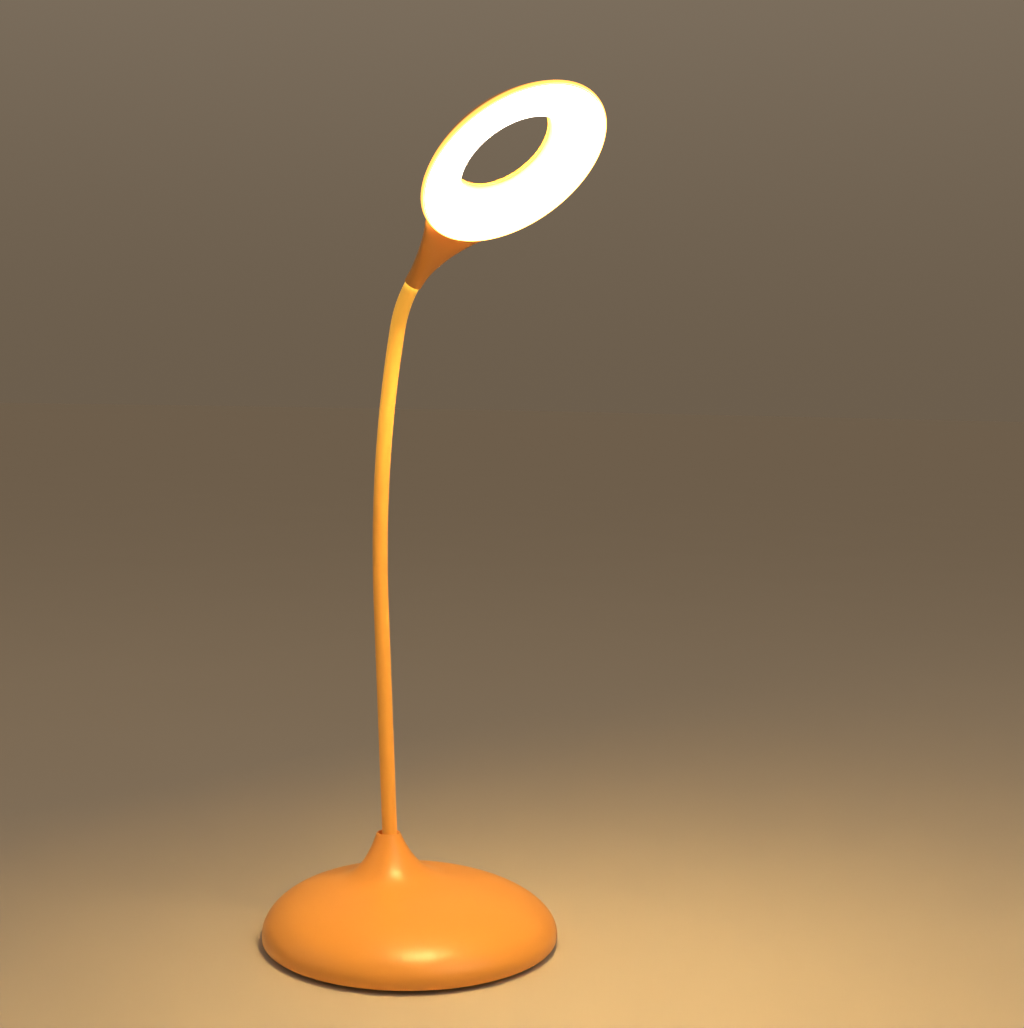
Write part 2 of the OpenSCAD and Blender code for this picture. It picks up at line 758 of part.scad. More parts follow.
// A tube along the neck's middle line from s0 to s1, which lie in one stretch of it.
module neck_tube(s0, s1, outer, inner) {
    if (s0 < straight_run)
        on_neck(s0) linear_extrude(s1 - s0) annulus(outer, inner);
    else if (s0 < tight_s)
        neck_bend(s0, s1, gentle_r, outer, inner);
    else
        neck_bend(s0, s1, tight_r, outer, inner);
}

module neck_bend(s0, s1, bend_r, outer, inner) {
    on_neck(s0) translate([bend_r, 0, 0]) rotate([90, 0, 180])
        rotate_extrude(angle = turn(s1 - s0, bend_r)) translate([bend_r, 0]) annulus(outer, inner);
}

// Length at which the joint above link i lies; the joint below link 1 is station 0. No link
// reaches from one stretch into the next, and the tight bend has one link.
function station(i) =
    i <= straight_links ? end_gap + i * (straight_run - end_gap) / straight_links
    : i < links ? straight_run + (i - straight_links) * gentle_run / gentle_links
    : neck_len - end_gap;

// One bending length of the steel hose, from joint to joint, with the hose's gap at each.
module hose_link(i) {
    hose(station(i - 1) + link_gap / 2, station(i) - link_gap / 2);
}

module hose(s0, s1) { color([0.72, 0.7, 0.66]) neck_tube(s0, s1, hose_r, hose_bore_r); }

module hose_root() { hose(-sleeve_root, station(0) - link_gap / 2); }

module hose_tip() { hose(station(links) + link_gap / 2, neck_len); }

// The silicone sleeve, in one length from the ferrule in the collar to the ferrule in the head.
module neck_sleeve() {
    stops = concat(
        [-sleeve_root], [for (i = [0:GENTLE_RINGS]) straight_run + gentle_run * i / GENTLE_RINGS],
        [for (i = [1:TIGHT_RINGS]) tight_s + tight_run * i / TIGHT_RINGS], [neck_len + sleeve_tip]
    );
    color([1, 0.74, 0.42]) pipe(stops, sleeve_r, hose_r + 0.1);
}

// A ring of points round the neck's middle line at the length s.
function neck_ring(s, r) =
    let (a = neck_angle(s), side = [cos(a), 0, -sin(a)])
    [for (j = [0:SLEEVE_SIDES - 1])
        neck_point(s) + r * (cos(360 * j / SLEEVE_SIDES) * side + sin(360 * j / SLEEVE_SIDES) * [0, 1, 0])];

// A pipe round the neck's middle line: up the outside, over the end, down the bore and back.
module pipe(stops, outer, inner) {
    n = SLEEVE_SIDES;
    rings = concat(
        [for (s = stops) neck_ring(s, outer)],
        [for (i = [len(stops) - 1:-1:0]) neck_ring(stops[i], inner)]
    );
    m = len(rings);
    polyhedron([for (ring = rings) each ring], [
        for (i = [0:m - 1])
            for (j = [0:n - 1])
                let (k = (i + 1) % m, l = (j + 1) % n)
                [i * n + j, k * n + j, k * n + l, i * n + l]
    ]);
}

// The threaded ferrule crimped on the hose: its flange sits on the seat inside the collar.
module neck_ferrule() {
    color([0.8, 0.68, 0.4])
    on_neck(0) rotate_extrude() polygon([
        [hose_bore_r, ferrule_end_s], [thread_r - 0.4, ferrule_end_s], [thread_r, ferrule_end_s + 0.4],
        [thread_r, seat_s], [flange_r, seat_s], [flange_r, -sleeve_root], [hose_bore_r, -sleeve_root]
    ]);
}

module neck_washer() {
    color("silver")
    on_neck(nut_s) linear_extrude(washer_t) annulus(washer_r, thread_r + 0.15);
}

module neck_nut() {
    color("silver")
    on_neck(nut_s - nut_t) linear_extrude(nut_t) difference() {
        circle(nut_af / 2 / cos(30), $fn = 6);
        circle(thread_r + 0.05);
    }
}

module head_ferrule() {
    color([0.8, 0.68, 0.4])
    on_neck(neck_len) linear_extrude(tip_ferrule_l) annulus(hose_r + 0.05, hose_bore_r);
}

// ---- Head ----

// Places its children on the light face, with +X up the face and +Z to the back of the head.
module in_head() {
    translate(head_c) rotate([0, head_tilt - 90, 0]) children();
}

function head_point(p) = head_c + p[0] * face_up + p[1] * [0, 1, 0] - p[2] * face_in;

// The ring of the back shell, solid: a slice of a ball whose lip rolls down into the hole.
module head_ring() {
    roll = [
        for (a = [90:-15:0])
            [lip_r - (lip_r - hole_back_r) * cos(a), lip_z + lip_h + (head_t - lip_z - lip_h) * sin(a)]
    ];
    rotate_extrude() intersection() {
        translate([0, -back_c]) circle(back_r);
        polygon(concat(
            [[hole_back_r, 0], [rim_r - 0.2, 0], [rim_r, 0.2], [rim_r, back_r], [lip_r, back_r]], roll
        ));
    }
}

// The hollow of the ring behind the diffuser, with the diffuser's own rebate.
module head_hollow() {
    rotate_extrude() {
        intersection() {
            translate([0, -back_c]) circle(back_r - head_wall);
            translate([inner_wall_r + 0.2, 0]) square([rebate_r - 1.4 - inner_wall_r, back_r]);
        }
        translate([hole_back_r - 1, -1]) square([rebate_r - hole_back_r + 1, diffuser_t + 1.05]);
        translate([hole_back_r - 1, -1]) square([inner_wall_r - hole_back_r + 1.2, lip_z + 1]);
    }
}

// The stem widens from its round mouth into the ring, along its own middle line. Its edges fall to
// the light face's rim while its back stays domed.
function stem_z(t) = socket_back + socket_slope * stem_end * t * pow(1 - t, 3) + stem_rise * t;

function stem_lean(t) = atan(socket_slope) * pow(1 - t, 2) - stem_end_lean;

// Half the width of the stem at the height x on the light face.
function stem_half_w(x) =
    let (d = x + head_reach - stem_plain)
    x < sweep_x0 ? stem_r + stem_spread * (sqrt(pow(d, 2) + 4) + d) / 2
    : x < sweep_x1 ? sweep_y - sqrt(pow(sweep_r, 2) - pow(x - sweep_x, 2))
    : sqrt(pow(rim_r, 2) - pow(x, 2)) - 0.1;

// Half its thickness, which is fullest at the share stem_full of its length and thins to its end.
function stem_half_t(t) = stem_r + (stem_t - stem_r) * (1 - cos(min(t / stem_full, 1) * 180)) / 2
    - stem_thin * pow(max(t - stem_full, 0) / (1 - stem_full), 2);

// How far the stem's edges lie nearer the light face than its middle.
function stem_drop(t) = (stem_z(t) - stem_edge_z)
    * pow(min(stem_end * t / (sweep_x1 + head_reach), 1), stem_curl);

module stem() {
    rings = [
        for (i = [0:STEM_RINGS])
            let (t = i / STEM_RINGS, x = stem_end * t - head_reach, a = stem_lean(t))
            [for (j = [0:STEM_SIDES - 1])
                let (q = 360 * j / STEM_SIDES, h = stem_half_t(t) * sin(q))
                [
                    x - h * sin(a), stem_half_w(x) * cos(q),
                    stem_z(t) + h * cos(a) - stem_drop(t) * pow(cos(q), 2)
                ]]
    ];
    skin(rings);
}

module head_shell() {
    color([1, 0.76, 0.46])
    difference() {
        in_head() difference() {
            union() {
                head_ring();
                stem();
            }
            difference() {
                head_hollow();
                at_led_screws()
                    translate([0, 0, led_board_z + led_board_t]) cylinder(h = head_t, r = led_boss_r);
            }
            at_led_screws()
                translate([0, 0, led_board_z + led_board_t - EPS]) cylinder(h = 3, r = tiny_r - 0.2);
            translate([channel_x0, 0, channel_z0]) rotate([0, 90 + channel_dip, 0])
                cylinder(h = channel_l, r = channel_r);
        }
        on_neck(neck_len) translate([0, 0, -1]) cylinder(h = sleeve_tip + 1, r = sleeve_r + 0.1);
        on_neck(neck_len) cylinder(h = tip_ferrule_l, r = hose_r + 0.1);
    }
}

module at_led_screws() {
    for (a = [0, 120, 240])
        rotate([0, 0, a]) translate([led_ring_r, 0, 0]) children();
}

module led_board() {
    color([0.93, 0.93, 0.9])
    in_head() difference() {
        translate([0, 0, led_board_z]) linear_extrude(led_board_t) annulus(led_board_out, led_board_in);
        at_led_screws()
            translate([0, 0, led_board_z - 1]) cylinder(h = led_board_t + 2, r = tiny_r + 0.2);
    }
}

module led_chips() {
    color([1, 0.85, 0.4])
    in_head()
        for (i = [0:chips - 1])
            rotate([0, 0, 360 * (i + 0.5) / chips])
                translate([led_ring_r - chip_l / 2, -chip_l * 0.4, led_board_z - chip_h])
                    cube([chip_l, chip_l * 0.8, chip_h]);
}

module led_screws() {
    color("silver")
    in_head() at_led_screws()
        translate([0, 0, led_board_z]) screw(led_board_t + 2.6, tiny_r - 0.25, tiny_head_r, tiny_head_h);
}

// The milky diffuser: a flat ring in the rebate and the wall of the hole, in one moulding.
module diffuser() {
    color([1, 0.97, 0.9])
    in_head() rotate_extrude($fn = 128) polygon([
        [hole_r + 0.5, 0], [diffuser_r - 0.3, 0], [diffuser_r, 0.3], [diffuser_r, diffuser_t],
        [inner_wall_r + 0.6, diffuser_t], [inner_wall_r, diffuser_t + 0.6],
        [hole_back_r + diffuser_t, wall_end], [hole_back_r, wall_end], [hole_r - hole_slope * 0.5, 0.5]
    ]);
}

foot_pad();
base_plate();
base_screws();
counterweight();
weight_screws();
battery_cell();
battery_lead();
charge_board();
charge_port();
charge_light();
charge_lead();
control_board();
control_parts();
board_screws();
touch_spring();
base_shell();
neck_ferrule();
neck_washer();
neck_nut();
hose_root();
hose_link(1);  // hose_01
hose_link(2);  // hose_02
hose_link(3);  // hose_03
hose_link(4);  // hose_04
hose_link(5);  // hose_05
hose_link(6);  // hose_06
hose_link(7);  // hose_07
hose_link(8);  // hose_08
hose_link(9);  // hose_09
hose_link(10);  // hose_10
hose_tip();
neck_sleeve();
lamp_lead();
head_ferrule();
head_shell();
led_board();
led_chips();
led_screws();
diffuser();
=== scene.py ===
import bpy
import numpy as np
from mathutils import Matrix, Vector


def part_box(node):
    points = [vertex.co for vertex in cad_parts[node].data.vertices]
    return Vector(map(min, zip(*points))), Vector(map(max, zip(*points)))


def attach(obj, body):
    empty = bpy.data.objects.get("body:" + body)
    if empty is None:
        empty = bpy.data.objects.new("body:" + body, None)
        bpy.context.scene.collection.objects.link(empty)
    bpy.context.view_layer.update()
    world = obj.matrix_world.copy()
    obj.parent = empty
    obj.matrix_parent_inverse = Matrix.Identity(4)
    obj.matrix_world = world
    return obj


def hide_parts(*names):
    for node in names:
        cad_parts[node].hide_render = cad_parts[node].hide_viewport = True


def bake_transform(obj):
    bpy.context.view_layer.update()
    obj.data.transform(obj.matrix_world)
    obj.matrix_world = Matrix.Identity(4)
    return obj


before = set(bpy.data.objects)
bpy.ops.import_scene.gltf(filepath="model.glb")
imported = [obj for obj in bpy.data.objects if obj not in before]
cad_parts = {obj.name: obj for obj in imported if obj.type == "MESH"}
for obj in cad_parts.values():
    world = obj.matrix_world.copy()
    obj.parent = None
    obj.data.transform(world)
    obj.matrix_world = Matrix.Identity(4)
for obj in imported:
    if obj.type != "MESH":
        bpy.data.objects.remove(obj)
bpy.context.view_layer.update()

# ---- Camera ----
# The camera stands where the photograph was taken, 0.65 m from the lamp and a little below its
# head. Its place, its turn and its focal length were worked out from the base's and the head's
# outlines, so the render and the photograph lie on each other.
PHOTO_SIDE = 1028
FOCAL_PIXELS = 1500
camera_place = Vector((0.48405, -0.43465, 0.23709))
camera_right = Vector((0.7132, 0.7007, 0.0188))
camera_up = Vector((-0.0647, 0.0390, 0.9971))
camera_back = camera_right.cross(camera_up).normalized()
camera = bpy.data.objects.new("camera", bpy.data.cameras.new("camera"))
camera.data.sensor_width = 36
camera.data.lens = camera.data.sensor_width * FOCAL_PIXELS / PHOTO_SIDE
camera.data.clip_start = 0.01
camera.matrix_world = Matrix.Translation(camera_place) @ Matrix((
    camera_right.normalized(), camera_up.normalized(), camera_back)).transposed().to_4x4()
bpy.context.collection.objects.link(camera)
bpy.context.scene.camera = camera
bpy.context.scene.view_settings.view_transform = "Standard"

# ---- Table and light ----
# A plain pale floor, one broad soft lamp from the front right, a weaker one from the left and a
# warm sky that meets the floor in a tone like its own. They are kept low, because the lamp in the
# photograph lights itself.
FLOOR_COLOUR = (0.63, 0.555, 0.465)
FLOOR_DRIFT = (0.61, 0.535, 0.445)
SKY_COLOUR = (1.0, 0.80, 0.58)
HORIZON_COLOUR = (0.63, 0.47, 0.31)
SKY_STRENGTH = 0.24
FLOOR_HALF = 40
floor_mesh = bpy.data.meshes.new("floor")
floor_mesh.from_pydata([(FLOOR_HALF * x, FLOOR_HALF * y, 0) for x, y in ((-1, -1), (1, -1), (1, 1), (-1, 1))],
                       [], [(0, 1, 2, 3)])
floor = bpy.data.objects.new("floor", floor_mesh)
bpy.context.collection.objects.link(floor)


def add_node(tree, kind, sockets=(), **settings):
    """A shader node with its settings. Its sockets are set to values or linked to other sockets."""
    node = tree.nodes.new("ShaderNode" + kind)
    for key, value in settings.items():
        setattr(node, key, value)
    for key, value in dict(sockets).items():
        if isinstance(value, bpy.types.NodeSocket):
            tree.links.new(value, node.inputs[key])
        else:
            node.inputs[key].default_value = value
    return node


def empty_material(name):
    """A material with nothing but a Principled shader on its output."""
    made = bpy.data.materials.new(name)
    made.use_nodes = True
    made.node_tree.nodes.clear()
    shader = add_node(made.node_tree, "BsdfPrincipled")
    add_node(made.node_tree, "OutputMaterial", {"Surface": shader.outputs["BSDF"]})
    return made, made.node_tree, shader


floor_material, floor_tree, floor_shader = empty_material("floor")
floor_mottle = add_node(floor_tree, "TexNoise", {
    "Vector": add_node(floor_tree, "TexCoord").outputs["Object"], "Scale": 6, "Detail": 4})
floor_tone = add_node(floor_tree, "Mix", {
    0: floor_mottle.outputs["Fac"], 6: (*FLOOR_COLOUR, 1), 7: (*FLOOR_DRIFT, 1)}, data_type="RGBA")
floor_tree.links.new(floor_tone.outputs[2], floor_shader.inputs["Base Color"])
floor_shader.inputs["Roughness"].default_value = 0.6
floor_mesh.materials.append(floor_material)

world = bpy.data.worlds.new("soft sky")
world.use_nodes = True
sky_height = add_node(world.node_tree, "SeparateXYZ", {
    0: add_node(world.node_tree, "TexCoord").outputs["Generated"]})
sky_rise = add_node(world.node_tree, "MapRange", {
    "Value": sky_height.outputs["Z"], "From Min": 0.0, "From Max": 0.5}, interpolation_type="SMOOTHSTEP")
sky_tone = add_node(world.node_tree, "Mix", {
    0: sky_rise.outputs[0], 6: (*HORIZON_COLOUR, 1), 7: (*SKY_COLOUR, 1)}, data_type="RGBA")
world.node_tree.links.new(sky_tone.outputs[2], world.node_tree.nodes["Background"].inputs["Color"])
world.node_tree.nodes["Background"].inputs["Strength"].default_value = SKY_STRENGTH
bpy.context.scene.world = world


def soft_lamp(name, place, target, side, power, colour):
    """A square area light of a given side at one point, facing another."""
    data = bpy.data.lights.new(name, "AREA")
    data.size, data.energy, data.color = side, power, colour
    lamp = bpy.data.objects.new(name, data)
    lamp.location = place
    lamp.rotation_mode = "QUATERNION"
    lamp.rotation_quaternion = (Vector(target) - Vector(place)).to_track_quat("-Z", "Y")
    bpy.context.collection.objects.link(lamp)


soft_lamp("key", place=(0.9, 0.1, 1.1), target=(0, 0, 0.12), side=0.8, power=3.5, colour=(1, 0.82, 0.6))
soft_lamp("fill", place=(-0.7, -0.9, 0.7), target=(0, 0, 0.15), side=1.0, power=0.8, colour=(1, 0.84, 0.66))

# ---- Foot pad and base plate ----
# The lamp stands on a disc of black foam rubber, stuck under a moulded plate that closes the base.
# Both are the CAD solids. The foam has open pores, and the plate the fine grain of its mould.


def node_group(name, inputs, outputs):
    """A shader node group with named sockets, given as name: (kind, value) in and name: kind out."""
    group = bpy.data.node_groups.new(name, "ShaderNodeTree")
    for key, (kind, value) in inputs.items():
        group.interface.new_socket(key, in_out="INPUT", socket_type="NodeSocket" + kind).default_value = value
    for key, kind in outputs.items():
        group.interface.new_socket(key, in_out="OUTPUT", socket_type="NodeSocket" + kind)
    return group, group.nodes.new("NodeGroupInput").outputs, group.nodes.new("NodeGroupOutput").inputs


# Mould grain: broad noise drifts from one tone to another and makes the gloss uneven, and fine
# noise gives the height of the grain.
grain, grain_in, grain_out = node_group("mould grain", {
    "Tone": ("Color", (0.8, 0.8, 0.8, 1)), "Drift tone": ("Color", (0.7, 0.7, 0.7, 1)),
    "Drift size": ("Float", 30.0), "Grain size": ("Float", 1500.0),
    "Roughness": ("Float", 0.3), "Unevenness": ("Float", 0.08),
}, {"Tone": "Color", "Roughness": "Float", "Height": "Float"})
grain_place = add_node(grain, "TexCoord").outputs["Object"]
grain_drift = add_node(grain, "TexNoise", {
    "Vector": grain_place, "Scale": grain_in["Drift size"], "Detail": 3, "Roughness": 0.6})
grain_fine = add_node(grain, "TexNoise", {
    "Vector": grain_place, "Scale": grain_in["Grain size"], "Detail": 2})
grain_tone = add_node(grain, "Mix", {
    0: grain_drift.outputs["Fac"], 6: grain_in["Tone"], 7: grain_in["Drift tone"]}, data_type="RGBA")
grain_spread = add_node(grain, "Math", {
    0: grain_drift.outputs["Fac"], 1: grain_in["Unevenness"], 2: grain_in["Roughness"]},
    operation="MULTIPLY_ADD")
grain.links.new(grain_tone.outputs[2], grain_out["Tone"])
grain.links.new(grain_spread.outputs[0], grain_out["Roughness"])
grain.links.new(grain_fine.outputs["Fac"], grain_out["Height"])


def finish(name, group, values, bump=0.0001, **shader_values):
    """A material whose colour, roughness and bump height come from a group, placed with its values.
    What is the same all over is set on the shader's own sockets."""
    made, tree, shader = empty_material(name)
    effect = add_node(tree, "Group", node_tree=group)
    for key, value in values.items():
        effect.inputs[key].default_value = value
    for key, value in shader_values.items():
        shader.inputs[key.replace("_", " ")].default_value = value
    height = add_node(tree, "Bump", {"Height": effect.outputs["Height"], "Distance": bump})
    tree.links.new(effect.outputs["Tone"], shader.inputs["Base Color"])
    tree.links.new(effect.outputs["Roughness"], shader.inputs["Roughness"])
    tree.links.new(height.outputs["Normal"], shader.inputs["Normal"])
    return made


def dress(made, *nodes):
    """Gives CAD nodes whose shape is right their material."""
    for node in nodes:
        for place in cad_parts[node].material_slots:
            place.material = made


foam = finish("foam rubber", grain, {
    "Tone": (0.012, 0.011, 0.010, 1), "Drift tone": (0.03, 0.028, 0.026, 1),
    "Drift size": 120, "Grain size": 900, "Roughness": 0.85, "Unevenness": 0.12}, bump=0.0004)
plate_plastic = finish("plate plastic", grain, {
    "Tone": (0.80, 0.72, 0.62, 1), "Drift tone": (0.76, 0.68, 0.58, 1),
    "Drift size": 35, "Grain size": 1800, "Roughness": 0.42, "Unevenness": 0.15})
dress(foam, "foot_pad")
dress(plate_plastic, "base_plate")

# ---- Counterweight and screws ----
# A disc of raw steel with one side cut off keeps the lamp upright. It is screwed to the plate with
# zinc-plated pan-head screws, like those that hold the shell and the boards.
drawn, drawn_in, drawn_out = node_group("drawn metal", {
    "Tone": ("Color", (0.6, 0.6, 0.6, 1)), "Worn tone": ("Color", (0.5, 0.5, 0.5, 1)),
    "Line density": ("Vector", (30.0, 1200.0, 30.0)),
    "Roughness": ("Float", 0.35), "Unevenness": ("Float", 0.2),
}, {"Tone": "Color", "Roughness": "Float", "Height": "Float"})
drawn_place = add_node(drawn, "VectorMath", {
    0: add_node(drawn, "TexCoord").outputs["Object"], 1: drawn_in["Line density"]}, operation="MULTIPLY")
drawn_lines = add_node(drawn, "TexNoise", {"Vector": drawn_place.outputs[0], "Scale": 1, "Detail": 4})
drawn_tone = add_node(drawn, "Mix", {
    0: drawn_lines.outputs["Fac"], 6: drawn_in["Tone"], 7: drawn_in["Worn tone"]}, data_type="RGBA")
drawn_spread = add_node(drawn, "Math", {
    0: drawn_lines.outputs["Fac"], 1: drawn_in["Unevenness"], 2: drawn_in["Roughness"]},
    operation="MULTIPLY_ADD")
drawn.links.new(drawn_tone.outputs[2], drawn_out["Tone"])
drawn.links.new(drawn_spread.outputs[0], drawn_out["Roughness"])
drawn.links.new(drawn_lines.outputs["Fac"], drawn_out["Height"])

raw_steel = finish("raw steel", drawn, {
    "Tone": (0.34, 0.33, 0.32, 1), "Worn tone": (0.22, 0.21, 0.20, 1),
    "Line density": (60, 60, 900), "Roughness": 0.42}, Metallic=1)
zinc = finish("zinc plate", drawn, {
    "Tone": (0.62, 0.62, 0.64, 1), "Worn tone": (0.50, 0.51, 0.54, 1),
    "Line density": (700, 700, 700), "Roughness": 0.25}, bump=0.00003, Metallic=1)
dress(raw_steel, "counterweight")
dress(zinc, "weight_screws", "base_screws", "board_screws", "led_screws", "neck_washer", "neck_nut")

# ---- Battery and leads ----
# A flat pouch cell lies on the counterweight, under tape. Its lead and the charge lead are soft
# red wires that plug into the control board.
pouch_foil = finish("pouch foil", drawn, {
    "Tone": (0.72, 0.73, 0.75, 1), "Worn tone": (0.60, 0.62, 0.65, 1),
    "Line density": (250, 250, 250), "Roughness": 0.3}, bump=0.0002, Metallic=0.8)
red_insulation = finish("red insulation", grain, {
    "Tone": (0.55, 0.03, 0.02, 1), "Drift tone": (0.42, 0.02, 0.015, 1),
    "Drift size": 90, "Grain size": 2500, "Roughness": 0.38}, bump=0.00003)
dress(pouch_foil, "battery_cell")
dress(red_insulation, "battery_lead", "charge_lead")

# ---- Charge and control boards ----
# Two small boards carry the electronics: glass-fibre board under green solder mask, black moulded
# chips, a drawn steel charge socket at the back and a red lens over the charge light.
solder_mask = finish("green solder mask", grain, {
    "Tone": (0.008, 0.085, 0.028, 1), "Drift tone": (0.014, 0.12, 0.045, 1),
    "Drift size": 260, "Grain size": 900, "Roughness": 0.3}, bump=0.00005, Coat_Weight=0.5)
chip_moulding = finish("chip moulding", grain, {
    "Tone": (0.015, 0.015, 0.017, 1), "Drift tone": (0.03, 0.03, 0.03, 1),
    "Drift size": 200, "Grain size": 3000, "Roughness": 0.55}, bump=0.00003)
socket_steel = finish("socket steel", drawn, {
    "Tone": (0.66, 0.65, 0.63, 1), "Worn tone": (0.52, 0.51, 0.50, 1),
    "Line density": (60, 900, 900), "Roughness": 0.28}, bump=0.00003, Metallic=1)
red_lens = finish("red lens", grain, {
    "Tone": (0.5, 0.03, 0.02, 1), "Drift tone": (0.4, 0.02, 0.015, 1),
    "Drift size": 300, "Grain size": 3000, "Roughness": 0.12}, bump=0.00001, Coat_Weight=0.6)
plated_wire = finish("plated spring wire", drawn, {
    "Tone": (0.72, 0.60, 0.34, 1), "Worn tone": (0.60, 0.48, 0.26, 1),
    "Line density": (800, 800, 800), "Roughness": 0.22}, bump=0.00002, Metallic=1)
dress(solder_mask, "charge_board", "control_board")
dress(chip_moulding, "control_parts")
dress(socket_steel, "charge_port")
dress(red_lens, "charge_light")
dress(plated_wire, "touch_spring")

# ---- Base shell ----
# One glossy moulding makes the pebble, its hollow flare and the collar that the neck stands in.
# Its rings are circles that drift back from the middle of the base to the collar, and a thin lip
# shows along its lower edge, just off the table.
BASE_R = 65.0  # radius at its widest
BELLY_Z = 4.0  # height of the widest ring
EDGE_Z = 2.0  # height of the lower edge
EDGE_IN = 0.5  # how far the lower edge draws in
DOME_H = 20.5  # height of the dome above the widest ring
DOME_P = 2.85  # higher keeps the dome's top flatter
DOME_Q = 2.0  # higher makes its shoulder squarer
COLLAR_X = -15.6  # middle of the collar, behind that of the base
COLLAR_R = 5.3  # radius of the collar at its mouth
COLLAR_WALL = 0.9  # wall of the collar there
FLARE_H = 20.0  # height of the flare
FLARE_W = 40.0  # its reach over the dome
FLARE_N = 5.0  # higher makes it more hollow
NECK_LEAN = np.radians(4.4)  # lean of the neck's foot, back from upright
MOUTH_SHIFT = 0.9  # how far the neck stands forward in the mouth
MOUTH_DEPTH = 3.0  # depth of the open mouth
SLEEVE_DEPTH = 14.0  # depth of the sleeve's end under the mouth
SLEEVE_R = 3.35  # radius of the neck's sleeve
SLEEVE_GAP = 0.2  # gap round it
BORE_STEP = 0.05  # height of the step where the mouth narrows to the sleeve
CAVITY_R = 63.0  # radius of the cavity under the dome
CAVITY_Z = 5.0  # height of its lower edge
CAVITY_H = 17.5  # its height
SEAT_X = -13.5  # middle of the seat that the ferrule stands on
SEAT_DEPTH = 3.0  # its thickness
FERRULE_HOLE_R = 2.9  # radius of the hole for the ferrule's thread
SEAT_R = 6.4  # radius of the recess for washer and nut
RECESS_SHIFT = 0.1  # how far the recess lies forward of the hole
ROOF_TOP_R = 8.0  # radius of the cavity's top ring
ROOF_TOP_Z = 22.3  # height where the recess ends
LIP_SINK = 0.4  # how far the collar's rounded lip sinks, as a share of its radius
SOCKET_GAP = 0.3  # gap round the charge socket
LIGHT_GAP = 0.1  # gap round the charge light
CUT_BACK = -70  # where the slots of both start behind the shell
CUT_FRONT = -55  # where they end inside it
SHELL_SIDES = 256


def dome(r, radius, height):
    """Height of a dome: height * (1 - (r / radius) ** p) ** (1 / q)."""
    return height * np.maximum(1 - (r / radius) ** DOME_P, 0) ** (1 / DOME_Q)


def shell_height(r):
    """Height of the outside: the belly, the dome and the flare's hollow power curve."""
    flare = FLARE_H * np.clip(1 - (r - COLLAR_R) / FLARE_W, 0, 1) ** FLARE_N
    return BELLY_Z + dome(r, BASE_R, DOME_H) + flare


def drift(r, widest=BASE_R):
    """How far back the middle of a ring of radius r lies: its share of the way to the collar."""
    return COLLAR_X * (widest - r) / (widest - COLLAR_R)


def arc(centre_r, centre_z, radius, start, end, count):
    """Radii and heights of points on a circle's arc, from one angle to another, in degrees."""
    angle = np.radians(np.linspace(start, end, count))
    return centre_r + radius * np.cos(angle), centre_z + radius * np.sin(angle)


def level_rings(middle_x, radius, height, sides):
    """Circles in level planes: rings x sides x 3 points, anticlockwise from above."""
    turn = np.linspace(0, 2 * np.pi, sides, endpoint=False)
    middle_x, radius, height = (
        np.broadcast_to(value, np.shape(radius))[:, None] for value in (middle_x, radius, height))
    return np.stack([middle_x + radius * np.cos(turn), radius * np.sin(turn), height + 0 * turn], -1)


def ring_faces(rings, sides, loop, start=0):
    """Quads between neighbouring rings. With loop the last ring joins the first, and otherwise
    each end ring is closed by one face."""
    index = start + np.arange(rings * sides).reshape(rings, sides)
    low = index if loop else index[:-1]
    high = np.roll(index, -1, 0) if loop else index[1:]
    quads = np.stack([low, np.roll(low, -1, 1), np.roll(high, -1, 1), high], -1).reshape(-1, 4).tolist()
    return quads if loop else quads + [index[0, ::-1].tolist(), index[-1].tolist()]


def skin(name, stacks, made, crease=35):
    """A smooth mesh of one or more stacks of rings, in millimetres, each given as (points, loop)."""
    points, faces = [], []
    for rings, loop in stacks:
        faces += ring_faces(*rings.shape[:2], loop, sum(len(p) for p in points))
        points.append(rings.reshape(-1, 3) / 1000)
    mesh = bpy.data.meshes.new(name)
    mesh.from_pydata(np.concatenate(points), [], faces)
    mesh.shade_smooth()
    mesh.set_sharp_from_angle(angle=np.radians(crease))
    mesh.materials.append(made)
    piece = bpy.data.objects.new(name, mesh)
    bpy.context.collection.objects.link(piece)
    return piece


collar_z = float(shell_height(np.array(COLLAR_R)))
lip = COLLAR_WALL / 2
dome_r = COLLAR_R + (BASE_R - COLLAR_R) * np.cos(np.linspace(0, np.pi / 2, 120)) ** 1.3
quarter_across, quarter_up = arc(0, 0, 1, -90, 0, 8)
edge_r = BASE_R - EDGE_IN + quarter_across * EDGE_IN
edge_z = BELLY_Z + quarter_up * (BELLY_Z - EDGE_Z)
lip_r, lip_z = arc(COLLAR_R - lip, collar_z - lip * LIP_SINK, lip, 10, 180, 12)
roof_r = np.linspace(ROOF_TOP_R, CAVITY_R, 40)
roof_z = CAVITY_Z + dome(roof_r, CAVITY_R, CAVITY_H)
bore_z = np.array([collar_z - MOUTH_DEPTH, collar_z - MOUTH_DEPTH - BORE_STEP, collar_z - SLEEVE_DEPTH])
bore_x = COLLAR_X + MOUTH_SHIFT + (collar_z - bore_z) * np.tan(NECK_LEAN)
bore_r = np.array([COLLAR_R - COLLAR_WALL, SLEEVE_R + SLEEVE_GAP, SLEEVE_R + SLEEVE_GAP])
bore_x[0] = COLLAR_X
seat_x = SEAT_X + np.array([0, 0, RECESS_SHIFT, RECESS_SHIFT])
seat_r = np.array([FERRULE_HOLE_R, FERRULE_HOLE_R, SEAT_R, SEAT_R])
seat_top = collar_z - SLEEVE_DEPTH
seat_z = np.array([seat_top, seat_top - SEAT_DEPTH, seat_top - SEAT_DEPTH, ROOF_TOP_Z])
shell_x = np.concatenate([0 * edge_r, drift(dome_r[1:-1]), 0 * lip_r + COLLAR_X, bore_x, seat_x,
                          drift(roof_r, CAVITY_R), [0]])
shell_r = np.concatenate([edge_r, dome_r[1:-1], lip_r, bore_r, seat_r, roof_r, [CAVITY_R]])
